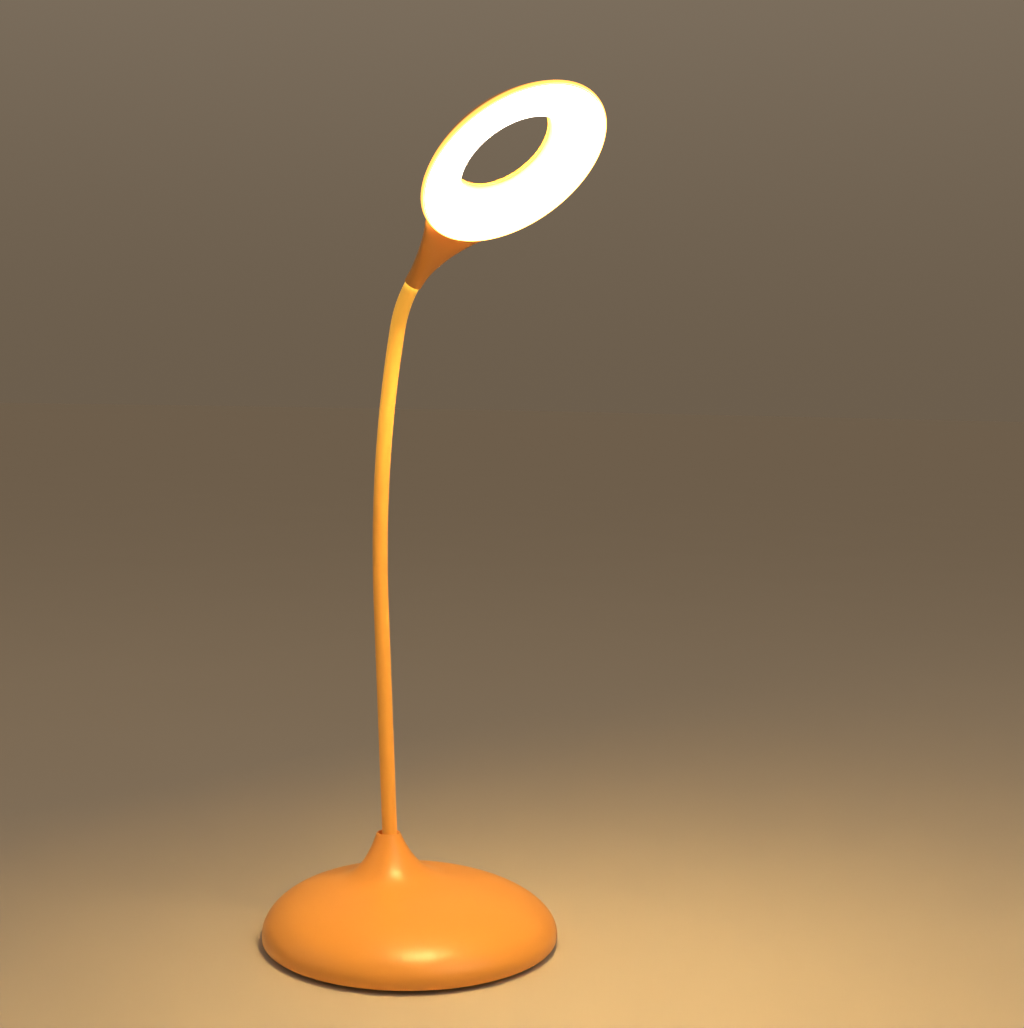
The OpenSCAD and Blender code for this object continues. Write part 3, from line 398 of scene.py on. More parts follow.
shell_z = np.concatenate([edge_z, shell_height(dome_r[1:-1]), lip_z, bore_z, seat_z, roof_z, [EDGE_Z]])
# Painted light: the tone is the white plastic painted with the amber of the lamp's light, so it shows orange.
GLOSS = {
    "Tone": (0.95, 0.43, 0.085, 1), "Drift tone": (0.94, 0.405, 0.075, 1),
    "Drift size": 18, "Grain size": 900, "Roughness": 0.31, "Unevenness": 0.08}
GLOSS_COAT = {"bump": 0.00002, "Coat_Weight": 0.1, "Coat_Roughness": 0.25}
gloss_plastic = finish("glossy plastic", grain, GLOSS, **GLOSS_COAT)
base_shell = skin("base_moulding", [
    (level_rings(shell_x, shell_r, shell_z, SHELL_SIDES), True)], gloss_plastic, crease=30)


def cut(piece, *stacks):
    """Takes closed skins out of a piece, with exact edges."""
    for rings in stacks:
        cutter = skin("cutter", [(rings, False)], gloss_plastic)
        step = piece.modifiers.new("cut", "BOOLEAN")
        step.operation, step.object, step.solver = "DIFFERENCE", cutter, "EXACT"
        solid = bpy.data.meshes.new_from_object(piece.evaluated_get(bpy.context.evaluated_depsgraph_get()))
        piece.modifiers.clear()
        piece.data = solid
        bpy.data.objects.remove(cutter)
    piece.data.shade_smooth()
    piece.data.set_sharp_from_angle(angle=np.radians(30))
    return piece


def slot_rings(middle, half_w, half_h, x_low, x_high, sides=48):
    """Two rings of a slot with round ends that runs along X, half_w x half_h about its middle."""
    turn = np.linspace(0, 2 * np.pi, sides, endpoint=False)
    y = middle[1] + half_h * np.cos(turn) + np.where(np.cos(turn) >= 0, 1, -1) * (half_w - half_h)
    z = middle[2] + half_h * np.sin(turn)
    return np.stack([np.stack([0 * y + x, y, z], -1) for x in (x_low, x_high)])


socket_low, socket_high = (np.array(v) * 1000 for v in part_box("charge_port"))
light_low, light_high = (np.array(v) * 1000 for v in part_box("charge_light"))
socket_half = (socket_high - socket_low) / 2
light_half = (light_high - light_low) / 2
cut(base_shell,
    slot_rings((socket_low + socket_high) / 2, *(socket_half[1:] + SOCKET_GAP), CUT_BACK, CUT_FRONT),
    slot_rings((light_low + light_high) / 2, *(light_half[1:] + LIGHT_GAP), CUT_BACK, CUT_FRONT))
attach(base_shell, "base")
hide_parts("base_shell")

# ---- Neck fixing ----
# The steel hose of the neck is crimped into turned brass ferrules. The lower one sits on the seat
# inside the collar and a washer and nut pull it tight.
turned_brass = finish("turned brass", drawn, {
    "Tone": (0.72, 0.50, 0.20, 1), "Worn tone": (0.55, 0.38, 0.15, 1),
    "Line density": (80, 80, 2500), "Roughness": 0.25}, bump=0.00004, Metallic=1)
wound_strip = finish("wound steel strip", drawn, {
    "Tone": (0.58, 0.57, 0.55, 1), "Worn tone": (0.36, 0.35, 0.34, 1),
    "Line density": (40, 40, 700), "Roughness": 0.3}, bump=0.0003, Metallic=1)
dress(turned_brass, "neck_ferrule", "head_ferrule")
dress(wound_strip, "hose_root", "hose_tip", *(f"hose_{number:02d}" for number in range(1, 11)))

# ---- Neck sleeve ----
# A thin white silicone tube covers the hose in one length. It is made here as one piece for each
# joint of the hose, from mid-link to mid-link.
STRAIGHT = 103.0  # length of the straight lower run
GENTLE = 122.5  # length of the gentle bend above it
GENTLE_R = 413.0  # its radius
TIGHT = 21.5  # length of the tight bend below the head
TIGHT_R = 43.0  # its radius
NECK_LEN = STRAIGHT + GENTLE + TIGHT
END_GAP = 8.0  # from each end of the neck to its nearest joint
SLEEVE_ROOT = 11.0  # length of the sleeve inside the collar
SLEEVE_TIP = 3.0  # length of the sleeve inside the stem
HOSE_R = 2.5  # radius of the hose
HOSE_GAP = 0.1  # gap round it
SLEEVE_SIDES = 48
SLEEVE_RINGS = 24  # rings of each piece
MOUTH_RINGS = 13  # rings added over MOUTH_RINGS_LEN below the stem, where the glow changes fast
MOUTH_RINGS_LEN = 6
# Painted light: these set the sleeve's glow, which stands in for light falling on it.
LIT_ALL = 0.15  # glow of the whole sleeve
LIT_TOP = 0.35  # what its top part glows more
LIT_TOP_LEN = 110.0  # length of that part
LIT_FADE = 50.0  # length over which it fades
LIT_MOUTH = 0.5  # what the last of it glows more, just below the stem
LIT_MOUTH_LEN = 4.0  # length over which that fades
neck_root = np.array([COLLAR_X + MOUTH_SHIFT, 0, collar_z])


def neck_angle(s):
    """Forward lean at the length s: -lean, plus the turn of each bend so far, length / radius."""
    gentle, tight = np.clip(s - STRAIGHT, 0, GENTLE), np.clip(s - STRAIGHT - GENTLE, 0, TIGHT)
    return -NECK_LEAN + gentle / GENTLE_R + tight / TIGHT_R


def neck_path(s):
    """Points of the middle line at lengths s. Each stretch adds its straight step, or the chord of
    its arc, length * sin(half turn) / half turn, along the mean heading. It runs on straight past
    both ends."""
    place = np.tile(neck_root, (len(s), 1))
    for start, low, high in ((0, -np.inf, STRAIGHT), (STRAIGHT, STRAIGHT, STRAIGHT + GENTLE),
                             (STRAIGHT + GENTLE, STRAIGHT + GENTLE, NECK_LEN), (NECK_LEN, NECK_LEN, np.inf)):
        end = np.clip(s, low, high)
        first, last = neck_angle(np.array(float(start))), neck_angle(end)
        chord = (end - start) * np.sinc((last - first) / 2 / np.pi)
        mean = (last + first) / 2
        place = place + chord[:, None] * np.stack([np.sin(mean), 0 * mean, np.cos(mean)], -1)
    return place


def neck_rings(s, radius, sides):
    """Circles of a radius square to the middle line at the lengths s."""
    angle, turn = neck_angle(s), np.linspace(0, 2 * np.pi, sides, endpoint=False)
    side = np.stack([np.cos(angle), 0 * angle, -np.sin(angle)], -1)
    across = np.cos(turn)[None, :, None] * side[:, None] + np.sin(turn)[None, :, None] * np.array([0, 1, 0])
    return neck_path(s)[:, None] + np.broadcast_to(radius, s.shape)[:, None, None] * across


stations = np.concatenate([
    END_GAP + np.arange(4) * (STRAIGHT - END_GAP) / 4, STRAIGHT + np.arange(6) * GENTLE / 5,
    [NECK_LEN - END_GAP]])
mid_links = np.concatenate([[-SLEEVE_ROOT], (stations[1:] + stations[:-1]) / 2, [NECK_LEN + SLEEVE_TIP]])


def bend_with_neck(piece):
    """Bakes a piece's placement into its mesh."""
    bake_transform(piece)


# Painted lamplight glow: the plastic is given a glow, from orange to yellow with the surface's own
# "painted_glow" value, that stands in for the lamp's light falling on it. The plastic is no lamp.
glow_paint, glow_paint_in, glow_paint_out = node_group("painted lamplight glow", {
    "Near colour": ("Color", (1.0, 0.5, 0.1, 1)), "Far colour": ("Color", (1.0, 0.3, 0.05, 1)),
}, {"Glow": "Color"})
glow_paint_amount = add_node(glow_paint, "Attribute", attribute_name="painted_glow").outputs["Fac"]
glow_paint_tone = add_node(glow_paint, "Mix", {
    0: glow_paint_amount, 6: glow_paint_in["Far colour"], 7: glow_paint_in["Near colour"]}, data_type="RGBA")
glow_paint_result = add_node(glow_paint, "Mix", {
    0: glow_paint_amount, 6: (0, 0, 0, 1), 7: glow_paint_tone.outputs[2]}, data_type="RGBA")
glow_paint.links.new(glow_paint_result.outputs[2], glow_paint_out["Glow"])


def paint_lamplight_glow(made, strength, near=(1.0, 0.5, 0.1, 1), far=(1.0, 0.3, 0.05, 1)):
    """Gives a material a painted glow, standing in for lamplight, where its surface's painted_glow value is
    over nothing.
    """
    tree = made.node_tree
    glow = add_node(tree, "Group", node_tree=glow_paint)
    glow.inputs["Near colour"].default_value, glow.inputs["Far colour"].default_value = near, far
    shader = next(node for node in tree.nodes if node.type == "BSDF_PRINCIPLED")
    tree.links.new(glow.outputs["Glow"], shader.inputs["Emission Color"])
    shader.inputs["Emission Strength"].default_value = strength
    return made


def set_painted_glow(piece, values):
    """Keeps how strongly each point of a piece glows with painted light, from 0 to 1."""
    piece.data.attributes.new("painted_glow", "FLOAT", "POINT").data.foreach_set("value", np.ravel(values))


# Painted light: the white silicone's tone is painted with the lamp's amber light, so it shows orange.
silicone = paint_lamplight_glow(finish("white silicone", grain, {
    "Tone": (0.95, 0.48, 0.09, 1), "Drift tone": (0.94, 0.45, 0.08, 1),
    "Drift size": 25, "Grain size": 1500, "Roughness": 0.42, "Unevenness": 0.12},
    bump=0.00003, Sheen_Weight=0.15), 1.2, near=(1.0, 0.6, 0.06, 1), far=(0.6, 0.2, 0.02, 1))
for joint in range(len(stations)):
    s = np.linspace(mid_links[joint], mid_links[joint + 1], SLEEVE_RINGS)
    if joint == len(stations) - 1:
        s = np.unique(np.concatenate([s, np.linspace(NECK_LEN - MOUTH_RINGS_LEN, NECK_LEN, MOUTH_RINGS)]))
    outside = neck_rings(s, SLEEVE_R, SLEEVE_SIDES)
    inside = neck_rings(s[::-1], HOSE_R + HOSE_GAP, SLEEVE_SIDES)
    sleeve = skin(f"sleeve_bend_{joint:02d}", [(np.concatenate([outside, inside]), True)], silicone)
    # Painted light: the glow is even all along, for room light on its shaded side, stronger in the top part
    # and strongest just below the stem, for the head's light falling on it.
    from_stem = NECK_LEN - np.concatenate([s, s[::-1]])
    painted_glow = (LIT_ALL + LIT_TOP * np.clip((LIT_TOP_LEN - from_stem) / LIT_FADE, 0, 1)
           + LIT_MOUTH * np.clip(1 - from_stem / LIT_MOUTH_LEN, 0, 1) ** 1.5)
    set_painted_glow(sleeve, np.repeat(painted_glow, SLEEVE_SIDES))
    bend_with_neck(sleeve)
    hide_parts("neck_sleeve")

# ---- Head shell ----
# The back of the head is one thin moulding: a slice of a ball whose lip rolls into the hole, and a
# stem whose sides sweep into the rim. It is found as the surface of a solid given by distances, so
# that stem and ring flow into each other as in the mould. Its rim is turned as a ring of its own.
# In its own frame x runs up the light face, y across it and z back from it.
HEAD_TILT = np.radians(47.8)  # tilt of the light face from upright
HEAD_REACH = 75.0  # from the stem's mouth to the middle of the ring
SOCKET_BACK = 8.0  # depth of the mouth behind the light face
RIM_R = 41.8  # radius over the rim
RIM_H = 1.2  # height of the rim's straight edge
RIM_WALL = 0.8  # wall of the rim outside the diffuser
BACK_R = 55.0  # radius of the domed back
HEAD_WALL = 1.5  # thickness of the shell
HOLE_R = 25.0  # radius of the hole at the light face
HOLE_BACK_R = 21.5  # radius of the hole at its narrow end
WALL_END = 11.7  # depth of the diffuser's end in the hole
LIP_W = 3.5  # width of the lip that rolls into the hole
LIP_Z = 11.8  # depth of the lip's edge
ROLL_Z = 12.7  # depth where the lip starts to roll
LIP_BLEND = 0.8  # rounding where lip and dome meet
STEM_R = 3.95  # radius of the stem at its mouth
STEM_T = 4.5  # half its thickness where it is fullest
STEM_FULL = 0.6  # where that is, as a share of its length
STEM_THIN = 2.6  # what half its thickness loses from there to its end
STEM_SPREAD = 0.36  # half width that it gains per millimetre
STEM_PLAIN = 6.0  # length of its round neck
STEM_START = 2  # length over which it starts to widen
SWEEP_R = 79.0  # radius of the arcs that lead its sides into the rim
STEM_RISE = 0.87  # what its middle line gains in depth
STEM_CURL = 2.33  # higher lets its edges fall to the rim later
STEM_EDGE_Z = 0.8  # depth of its edges where they meet the rim
STEM_END_GAP = 4  # from its end to the lip
STEM_SINK_T = 0.8  # where it starts to sink into the ring, as a share of its length
STEM_SINK = 4.0  # how far its surface sinks
MOUTH_BLEND = 0.3  # rounding at its mouth
END_BLEND = 1  # rounding at its end
JOIN_Z = 1  # depth where the fillet between stem and ring starts to grow
JOIN_GROWTH = 0.9  # growth of its radius per millimetre of depth
JOIN_LEAST = 0.3  # its least radius
JOIN_MOST = 4  # its greatest radius
DIFFUSER_T = 1.2  # thickness of the diffuser
LEDGE_W = 1.2  # width of the ledge that it rests on
LED_RING_R = 30.6  # radius of the ring of screw posts
LED_BACK_Z = 5.4  # depth of the light board's back, which the posts carry
POST_R = 1.9  # radius of a post
POSTS = 3
EASE = 0.06  # how far the body stays inside the rim's ring
REBATE_GAP = 0.1  # gap round the diffuser in its rebate
LINING_GAP = 0.2  # gap round the diffuser in the hole
BORE_GAP = 0.1  # gap round sleeve and hose in their bores
BORE_START = 2  # how far outside the mouth the bores start
FERRULE_DEPTH = 10.0  # depth of the ferrule's end in the stem
CHANNEL_R = 1.25  # radius of the lamp lead's channel
CHANNEL_END_X = -34.5  # where it opens into the hollow
OVERLAP = 1  # what it laps into the ferrule's bore
BODY_LOW = (-74.4, -43.6, 0.4)  # the grid that the body's surface is found on
BODY_HIGH = (43.4, 43.4, 15.6)
BODY_STEP = 0.5
MOUTH_LOW = (-77, -5, 2.5)  # a finer grid for the mouth of the stem
MOUTH_HIGH = (-68.5, 5, 14.5)
MOUTH_STEP = 0.2
SLOPE_STEP = 0.02  # step for measuring a field's slope, as a share of a cell
FLAT_SLOPE = 0.2  # least squared slope that a distance is divided by
SURFACE_MOVES = 6  # moves of each point towards the surface
BODY_PAST_MOUTH = 4.0  # where the body starts up the stem
MOUTH_PIECE_LEN = 5.0  # where the mouth's own piece ends
BODY_EDGE_Z = 0.95  # depth of the body's lower edge, inside the rim's ring
RIM_ROUND = 0.35  # rounding of the rim outside
RIM_INNER_ROUND = 0.12  # rounding of the rim inside
RIM_TOP_IN = 0.3  # how far in the top of the rim's ring lies, hidden in the body
RIM_TOP_RISE = 0.1  # how far it rises over the straight edge
RIM_LIT = 0.2  # painted glow of the rim, standing in for the lamp's halo over it
RIM_LIT_Z = 3.0  # depth over which it fades
RIM_LIT_R = 38.0  # radius outside which it shows
RING_SIDES = 256
face_up = np.array([np.sin(HEAD_TILT), 0, np.cos(HEAD_TILT)])
face_in = np.array([np.cos(HEAD_TILT), 0, -np.sin(HEAD_TILT)])
neck_tip = neck_path(np.array([NECK_LEN]))[0]
tip_turn = float(neck_angle(np.array(NECK_LEN)))
head_middle = neck_tip + HEAD_REACH * face_up + SOCKET_BACK * face_in
back_c = np.sqrt(BACK_R ** 2 - RIM_R ** 2) - RIM_H
lip_edge_r = HOLE_BACK_R + LIP_W
head_t = np.sqrt(BACK_R ** 2 - lip_edge_r ** 2) - back_c
stem_end = HEAD_REACH - lip_edge_r - STEM_END_GAP
mouth = np.array([-HEAD_REACH, 0, SOCKET_BACK])
mouth_way = np.array([np.cos(HEAD_TILT - tip_turn), 0, np.sin(HEAD_TILT - tip_turn)])

# Each side of the stem slopes straight, then follows an arc that touches the slope and the rim.
slope_l = np.hypot(1, STEM_SPREAD)
slope_y = STEM_R + STEM_SPREAD * (HEAD_REACH - STEM_PLAIN) + SWEEP_R * slope_l
sweep_x = -(slope_y * STEM_SPREAD + np.sqrt((slope_l * (RIM_R + SWEEP_R)) ** 2 - slope_y ** 2)) / slope_l ** 2
sweep_y = slope_y + STEM_SPREAD * sweep_x
sweep_x0, sweep_x1 = sweep_x + SWEEP_R * STEM_SPREAD / slope_l, sweep_x * RIM_R / (RIM_R + SWEEP_R)


def from_head(points):
    """Points of the head's own frame, up the face, across it and back from it, in the lamp's."""
    return head_middle + points @ np.stack([face_up, [0, 1, 0], -face_in])


def soft_max(a, b, radius):
    """The larger of two distances, rounded where they are within a radius of each other."""
    share = np.clip(0.5 + 0.5 * (a - b) / radius, 0, 1)
    return b + (a - b) * share + radius * share * (1 - share)


def oval(u, v, half_u, half_v):
    """Distance from an oval: (h - 1) over the slope of h, where h = |u / half u, v / half v|."""
    h = np.hypot(u / half_u, v / half_v)
    slope = np.hypot(u / half_u ** 2, v / half_v ** 2) / np.maximum(h, 1e-6)
    return (h - 1) / np.maximum(slope, 1 / np.maximum(half_u, half_v))


def ring_solid(x, y, z):
    """Distance from a slice of a ball, whose lip rolls down in a quarter oval to the hole."""
    r = np.hypot(x, y)
    ball = np.maximum(r - RIM_R + EASE, np.hypot(r, z + back_c) - BACK_R)
    roll = oval(np.maximum(lip_edge_r - r, 0), np.maximum(z - ROLL_Z, 0), LIP_W, head_t - ROLL_Z)
    return soft_max(ball, roll, LIP_BLEND)


def stem_solid(x, y, z):
    """Distance from the stem: an oval in each section, bent so that its edges fall to the rim by
    drop * (y / half width) ** 2, cut off square to the neck at its mouth. Past four fifths of its
    length it sinks into the ring."""
    along = x + HEAD_REACH
    t = np.clip(along / stem_end, 0, 1)
    past = x + HEAD_REACH - STEM_PLAIN
    sweep = sweep_y - np.sqrt(np.maximum(SWEEP_R ** 2 - (x - sweep_x) ** 2, 0))
    half_w = np.where(x < sweep_x0, STEM_R + STEM_SPREAD * (np.sqrt(past ** 2 + STEM_START ** 2) + past) / 2,
                      np.where(x < sweep_x1, sweep, np.sqrt(np.maximum(RIM_R ** 2 - x ** 2, 1))))
    half_t = (STEM_R + (STEM_T - STEM_R) * (1 - np.cos(np.minimum(t / STEM_FULL, 1) * np.pi)) / 2
              - STEM_THIN * (np.maximum(t - STEM_FULL, 0) / (1 - STEM_FULL)) ** 2)
    middle = SOCKET_BACK + np.tan(HEAD_TILT - tip_turn) * stem_end * t * (1 - t) ** 3 + STEM_RISE * t
    curl = np.minimum(stem_end * t / (sweep_x1 + HEAD_REACH), 1) ** STEM_CURL
    share = np.minimum(np.abs(y) / half_w, 1.5)
    lifted = z - middle + (middle - STEM_EDGE_Z) * curl * share ** 2
    sink = np.clip((t - STEM_SINK_T) / (1 - STEM_SINK_T), 0, 1)
    body = oval(y, lifted, half_w, half_t) + STEM_SINK * sink ** 2 * (3 - 2 * sink)
    cut = -(along * mouth_way[0] + (z - SOCKET_BACK) * mouth_way[2])
    return soft_max(soft_max(body, cut, MOUTH_BLEND), along - stem_end, END_BLEND)


def bore(x, y, z, start, way, radius, length):
    """Distance from a round bore of a radius and a length that starts at a point and goes a way."""
    dx, dz = x - start[0], z - start[2]
    along = dx * way[0] + dz * way[2]
    return np.maximum(np.hypot(dx * way[2] - dz * way[0], y) - radius, np.maximum(-along, along - length))


def head_solid(x, y, z):
    """Distance from the back shell: ring and stem in one, less the hollow with its screw posts, the
    rebate and lining of the diffuser, and the bores of sleeve, ferrule and lamp lead."""
    r = np.hypot(x, y)
    ring, stem = ring_solid(x, y, z), stem_solid(x, y, z)
    whole = -soft_max(-ring, -stem, np.clip(JOIN_GROWTH * (z - JOIN_Z), JOIN_LEAST, JOIN_MOST))
    hollow = np.maximum(np.hypot(r, z + back_c) - BACK_R + HEAD_WALL,
                        np.maximum(r - RIM_R + RIM_WALL + LEDGE_W, HOLE_R + DIFFUSER_T - r))
    for turn in np.arange(POSTS) * 2 * np.pi / POSTS:
        post = np.hypot(x - LED_RING_R * np.cos(turn), y - LED_RING_R * np.sin(turn)) - POST_R
        hollow = np.maximum(hollow, -np.maximum(post, LED_BACK_Z - z))
    rebate = np.maximum(r - RIM_R + RIM_WALL - REBATE_GAP, z - DIFFUSER_T - REBATE_GAP / 2)
    lining = np.maximum(r - HOLE_R - DIFFUSER_T - LINING_GAP, z - LIP_Z)
    inside = np.minimum(np.minimum(hollow, rebate), lining)
    outer = mouth - BORE_START * mouth_way
    channel = np.array([CHANNEL_END_X, 0, LED_BACK_Z]) - (mouth + FERRULE_DEPTH * mouth_way)
    channel_len = np.linalg.norm(channel)
    for start, way, radius, length in (
            (outer, mouth_way, SLEEVE_R + BORE_GAP, SLEEVE_TIP + BORE_START),
            (outer, mouth_way, HOSE_R + BORE_GAP, FERRULE_DEPTH + BORE_START),
            (mouth + (FERRULE_DEPTH - OVERLAP) * mouth_way, channel / channel_len,
             CHANNEL_R, channel_len + OVERLAP)):
        inside = np.minimum(inside, bore(x, y, z, start, way, radius, length))
    return np.maximum(whole, -inside)


def field_skin(name, field, low, high, step, made):
    """The surface where a field of distances is zero, in the head's frame. Each cell that it
    crosses gets one point, moved down the field's slope onto the surface, and each crossed edge
    of the grid one quad between the four cells round it."""
    axes = [np.arange(a, b + step, step) for a, b in zip(low, high)]
    within = field(*np.meshgrid(*axes, indexing="ij")) < 0
    corners = [slice(None, -1), slice(1, None)]
    count = sum(within[i, j, k].astype(int) for i in corners for j in corners for k in corners)
    crossed = np.argwhere((count > 0) & (count < 8))
    number = np.full(count.shape, -1)
    number[tuple(crossed.T)] = np.arange(len(crossed))
    points = np.array(low) + (crossed + 0.5) * step
    nudge = np.eye(3) * step * SLOPE_STEP

    def slope(p):
        """The field's slope at points: its change from a step back to a step on, over both steps."""
        return np.stack([field(*(p + n).T) - field(*(p - n).T) for n in nudge], -1) / (step * SLOPE_STEP * 2)

    for _ in range(SURFACE_MOVES):
        gradient = slope(points)
        steepness = np.maximum((gradient ** 2).sum(-1), FLAT_SLOPE)
        move = -(field(*points.T) / steepness)[:, None] * gradient
        points = points + np.clip(move, -step / 2, step / 2)
    quads = []
    for axis in range(3):
        first, second = (axis + 1) % 3, (axis + 2) % 3
        near = np.take(within, range(within.shape[axis] - 1), axis)
        far = np.take(within, range(1, within.shape[axis]), axis)
        spots = np.argwhere(near != far)
        forward = near[tuple(spots.T)]
        around = []
        for a, b in ((-1, -1), (0, -1), (0, 0), (-1, 0)):
            shifted = spots.copy()
            shifted[:, first] += a
            shifted[:, second] += b
            around.append(number[tuple(shifted.T)])
        around = np.stack(around, -1)
        quads.append(np.where(forward[:, None], around, around[:, ::-1]))
    mesh = bpy.data.meshes.new(name)
    mesh.from_pydata(from_head(points) / 1000, [], np.concatenate(quads).tolist())
    mesh.shade_smooth()
    normals = slope(points) @ np.stack([face_up, [0, 1, 0], -face_in])
    normals /= np.maximum(np.linalg.norm(normals, axis=1, keepdims=True), 1e-9)
    mesh.normals_split_custom_set_from_vertices(normals.tolist())
    mesh.materials.append(made)
    piece = bpy.data.objects.new(name, mesh)
    bpy.context.collection.objects.link(piece)
    return piece


def past_mouth(x, z):
    """How far a point lies up the stem from its mouth."""
    return (x + HEAD_REACH) * mouth_way[0] + (z - SOCKET_BACK) * mouth_way[2]


def head_body(x, y, z):
    """Distance from the shell without its rim and the mouth of its stem."""
    ends = np.maximum(BODY_PAST_MOUTH - past_mouth(x, z), BODY_EDGE_Z - z)
    return np.maximum(head_solid(x, y, z), ends)


def head_mouth(x, y, z):
    """Distance from the mouth of the stem alone."""
    return np.maximum(head_solid(x, y, z), past_mouth(x, z) - MOUTH_PIECE_LEN)


# Painted light: the head plastic glows near its rim, standing in for the lamp's halo.
head_plastic = paint_lamplight_glow(
    finish("glossy head plastic", grain, GLOSS, **GLOSS_COAT),
    10, near=(1.0, 0.6, 0.18, 1), far=(1.0, 0.36, 0.05, 1))
head_shell = field_skin("head_moulding", head_body, BODY_LOW, BODY_HIGH, BODY_STEP, head_plastic)
placed = np.array([point.co for point in head_shell.data.vertices]) * 1000 - head_middle
own_x, own_y, own_z = np.stack([face_up, [0, 1, 0], -face_in]) @ placed.T
# Painted halo: the shell glows near the rim, fading back from it.
near_rim = np.clip(1 - (own_z - RIM_H) / RIM_LIT_Z, 0, 1) ** 2
set_painted_glow(head_shell, RIM_LIT * near_rim * (np.hypot(own_x, own_y) > RIM_LIT_R))
head_neck = field_skin("head_mouth", head_mouth, MOUTH_LOW, MOUTH_HIGH, MOUTH_STEP, head_plastic)
rim_out_r, rim_out_z = arc(RIM_R - RIM_ROUND, RIM_ROUND, RIM_ROUND, 0, -90, 8)
rim_in_r, rim_in_z = arc(
    RIM_R - RIM_WALL + RIM_INNER_ROUND, RIM_INNER_ROUND, RIM_INNER_ROUND, -90, -180, 6)
rim_r = np.concatenate([[RIM_R], rim_out_r, rim_in_r, [RIM_R - RIM_WALL, RIM_R - RIM_TOP_IN]])
rim_z = np.concatenate([[RIM_H], rim_out_z, rim_in_z, [RIM_H, RIM_H + RIM_TOP_RISE]])
head_rim = skin("head_rim", [(from_head(level_rings(0, rim_r, rim_z, RING_SIDES)), True)],
                head_plastic, crease=50)
# Painted halo: the rim glows more towards the diffuser.
across_rim = np.clip((RIM_R - rim_r) / RIM_WALL, 0, 1)
set_painted_glow(head_rim, np.repeat(RIM_LIT + (1 - RIM_LIT) * across_rim ** 2, RING_SIDES))
for piece in (head_shell, head_neck, head_rim):
    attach(piece, "head")
    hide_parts("head_shell")

# ---- Lamp lead ----
# A soft white wire runs from the control board, over the battery and up inside the hose to the
# light board. Like the sleeve it is made as one piece for each joint of the hose.
LEAD_R = 0.9
lead_in_base = np.array([
    (15.95, 0, 15.5), (15.4, 0, 15.5), (14.1, 0, 15.7), (12.7, 0, 16.7), (11.2, 0, 18.2),
    (8, 0, 18.75), (0, 0, 18.8), (-6, 0, 18.8), (-9.6, 0, 19.1), (-11.8, 0, 20.2)])
lead_in_head = np.array([
    (-58, 0, 8.3), (-50, 0, 7.2), (-42, 0, 6.2), (-38, 0, 5.7), (-35.5, 0, 5.3), (-34.05, 0, 5)])


def wire_rings(path, radius, sides=16):
    """Circles along a path in the plane Y = 0, square to its direction at each point."""
    ahead = np.gradient(path, axis=0)
    ahead /= np.linalg.norm(ahead, axis=1, keepdims=True)
    side, turn = np.cross([0, 1, 0], ahead), np.linspace(0, 2 * np.pi, sides, endpoint=False)
    across = np.cos(turn)[None, :, None] * side[:, None] + np.sin(turn)[None, :, None] * np.array([0, 1, 0])
    return path[:, None] + radius * across


white_insulation = finish("white insulation", grain, {
    "Tone": (0.80, 0.77, 0.72, 1), "Drift tone": (0.72, 0.69, 0.64, 1),
    "Drift size": 80, "Grain size": 2500, "Roughness": 0.4}, bump=0.00003)

neck_mids = mid_links.copy()
neck_mids[0], neck_mids[-1] = 0, NECK_LEN
below = neck_path(np.array([-18.5, -14.5, -SLEEVE_ROOT, -SLEEVE_ROOT / 2, 0]))
above = neck_path(NECK_LEN + np.array([0, 4, 9.5]))
for name, body, path in (
        ("lead_in_base", "base", np.concatenate([lead_in_base, below])),
        ("lead_in_head", "head", np.concatenate([above, from_head(lead_in_head)]))):
    lead = skin(name, [(wire_rings(path, LEAD_R), False)], white_insulation)
    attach(lead, body)
    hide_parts("lamp_lead")
for joint in range(len(stations)):
    s = np.linspace(neck_mids[joint], neck_mids[joint + 1], 12)
    lead = skin(f"lead_bend_{joint:02d}", [(neck_rings(s, LEAD_R, 16), False)], white_insulation)
    bend_with_neck(lead)
    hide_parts("lamp_lead")

# ---- Light board and chips ----
# A white-masked ring of board carries the light-emitting chips, screwed to bosses in the shell.
white_mask = finish("white solder mask", grain, {
    "Tone": (0.82, 0.82, 0.78, 1), "Drift tone": (0.76, 0.76, 0.72, 1),
    "Drift size": 200, "Grain size": 900, "Roughness": 0.35}, bump=0.00004)
phosphor = finish("yellow phosphor", grain, {
    "Tone": (0.90, 0.62, 0.10, 1), "Drift tone": (0.85, 0.52, 0.06, 1),
    "Drift size": 400, "Grain size": 3000, "Roughness": 0.3}, bump=0.00002, Coat_Weight=0.4)
dress(white_mask, "led_board")
dress(phosphor, "led_chips")

# ---- Diffuser ----
# A milky plastic moulding closes the light face and lines the hole. Lit from behind it glows
# white, and turns yellow and orange at its edges and at the far end of the hole.
DIFFUSER_R = RIM_R - RIM_WALL - REBATE_GAP
FRONT_ROUND = 0.3  # rounding of the outer edge
LIP_ROUND = 0.4  # rounding where face and wall meet, and of the wall's end
FACE_ROUND_OUT = 0.3  # how far outside the hole's edge the first rounding's centre lies
FOOT_ROUND_OUT = 0.45  # how far outside the hole's narrow end the second one's lies
WALL_START_Z = 0.7  # depth where the straight wall of the hole starts
WALL_STOP = 0.6  # what it stops short of the wall's end
CORNER = 0.6  # chamfer of the hidden corner behind the face
DULL_EDGE = 0.7  # width over which the outer edge glows less
DULL_END = 6.0  # length over which the wall's end glows less
LIGHT_STRENGTH = 110
hole_slope = (HOLE_R - HOLE_BACK_R) / WALL_END
front_r, front_z = arc(DIFFUSER_R - FRONT_ROUND, FRONT_ROUND, FRONT_ROUND, 0, -90, 8)
inner_r, inner_z = arc(HOLE_R + FACE_ROUND_OUT, LIP_ROUND, LIP_ROUND, -90, -165, 8)
foot_r, foot_z = arc(HOLE_BACK_R + FOOT_ROUND_OUT, WALL_END - LIP_ROUND, LIP_ROUND, 180, 90, 6)
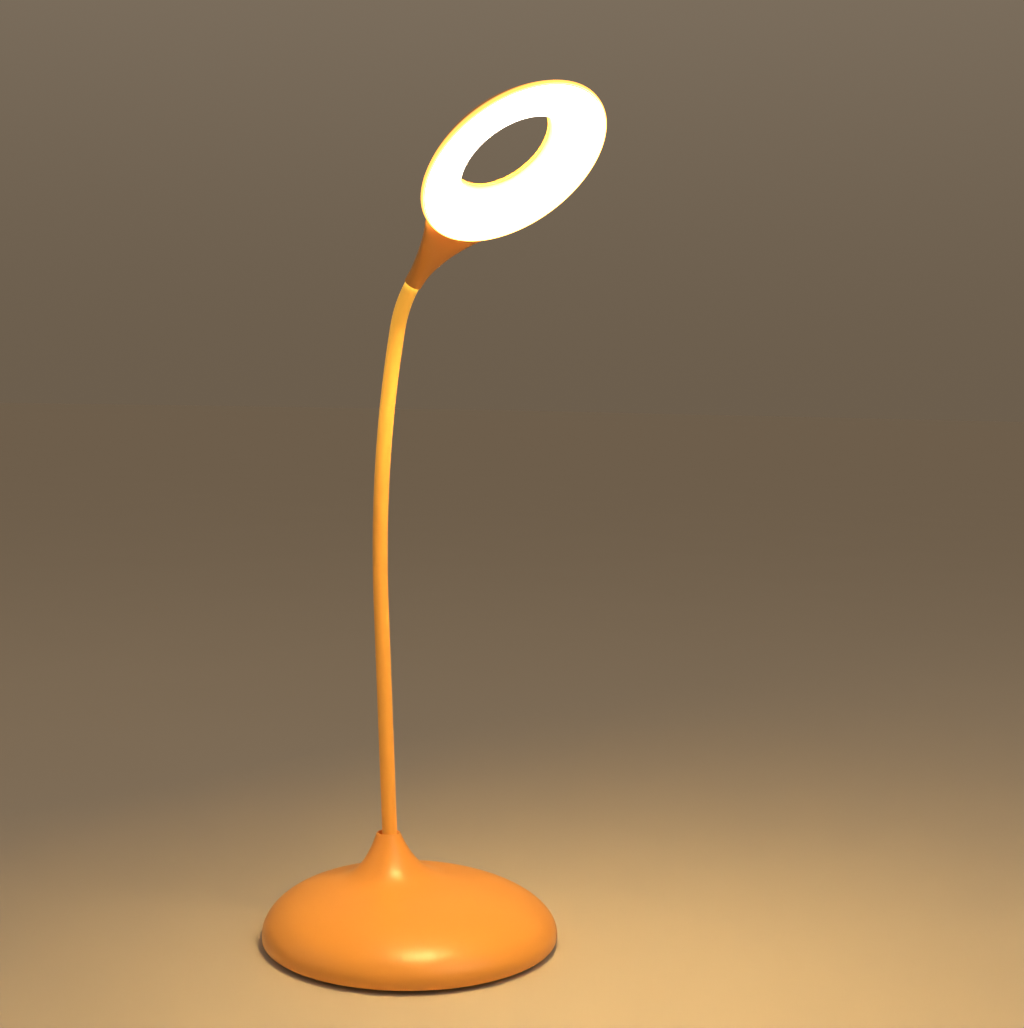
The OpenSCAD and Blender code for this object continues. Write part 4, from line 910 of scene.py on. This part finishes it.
face_r = np.linspace(DIFFUSER_R - LIP_ROUND, HOLE_R + LIP_ROUND, 32)
wall_z = np.linspace(WALL_START_Z, WALL_END - WALL_STOP, 24)
glass_r = np.concatenate([
    [DIFFUSER_R], front_r, face_r, inner_r, HOLE_R - hole_slope * wall_z, foot_r,
    [HOLE_BACK_R + DIFFUSER_T, HOLE_R + DIFFUSER_T, HOLE_R + DIFFUSER_T + CORNER]])
glass_z = np.concatenate([
    [DIFFUSER_T], front_z, 0 * face_r, inner_z, wall_z, foot_z,
    [WALL_END, DIFFUSER_T + CORNER, DIFFUSER_T]])
diffuser_rings = level_rings(0, glass_r, glass_z, RING_SIDES)
glow = np.minimum(np.clip((DIFFUSER_R - glass_r) / DULL_EDGE, 0, 1),
                  np.clip((WALL_END - glass_z) / DULL_END, 0, 1))
milky, milky_tree, milky_shader = empty_material("milky diffuser")
milky_glow = add_node(milky_tree, "Attribute", attribute_name="glow")
milky_ramp = add_node(milky_tree, "ValToRGB", {"Fac": milky_glow.outputs["Fac"]})
milky_ramp.color_ramp.elements[0].color = (0.012, 0.006, 0.0004, 1)
milky_ramp.color_ramp.elements[1].color = (1.0, 0.66, 0.24, 1)
milky_ramp.color_ramp.elements[1].position = 0.8
milky_ramp.color_ramp.elements.new(0.4).color = (0.016, 0.0105, 0.0012, 1)
# Seen directly, the moulding is only as bright as white needs, so that its edges stay clean. What
# it lights and what mirrors it gets its full light.
milky_dimmed = add_node(milky_tree, "Mix", {
    0: 1.0, 6: milky_ramp.outputs["Color"], 7: (0.035, 0.03, 0.027, 1)},
    data_type="RGBA", blend_type="DARKEN")
milky_seen = add_node(milky_tree, "Mix", {
    0: add_node(milky_tree, "LightPath").outputs["Is Camera Ray"],
    6: milky_ramp.outputs["Color"], 7: milky_dimmed.outputs[2]}, data_type="RGBA")
milky_mottle = add_node(milky_tree, "TexNoise", {
    "Vector": add_node(milky_tree, "TexCoord").outputs["Object"], "Scale": 60, "Detail": 3})
milky_tone = add_node(milky_tree, "Mix", {
    0: milky_mottle.outputs["Fac"], 6: (0.92, 0.86, 0.76, 1), 7: (0.88, 0.82, 0.72, 1)}, data_type="RGBA")
# Painted light: where the glow fades, the base colour turns orange, standing in for amber light on the white
# moulding.
milky_painted_amber = add_node(milky_tree, "Mix", {
    0: milky_glow.outputs["Fac"], 6: (0.60, 0.28, 0.012, 1), 7: milky_tone.outputs[2]}, data_type="RGBA")
milky_tree.links.new(milky_painted_amber.outputs[2], milky_shader.inputs["Base Color"])
milky_tree.links.new(milky_seen.outputs[2], milky_shader.inputs["Emission Color"])
milky_shader.inputs["Emission Strength"].default_value = LIGHT_STRENGTH
milky_shader.inputs["Roughness"].default_value = 0.35
diffuser = skin("diffuser_moulding", [(from_head(diffuser_rings), True)], milky, crease=50)
diffuser.data.attributes.new("glow", "FLOAT", "POINT").data.foreach_set(
    "value", np.repeat(glow, RING_SIDES))
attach(diffuser, "head")
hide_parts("diffuser")
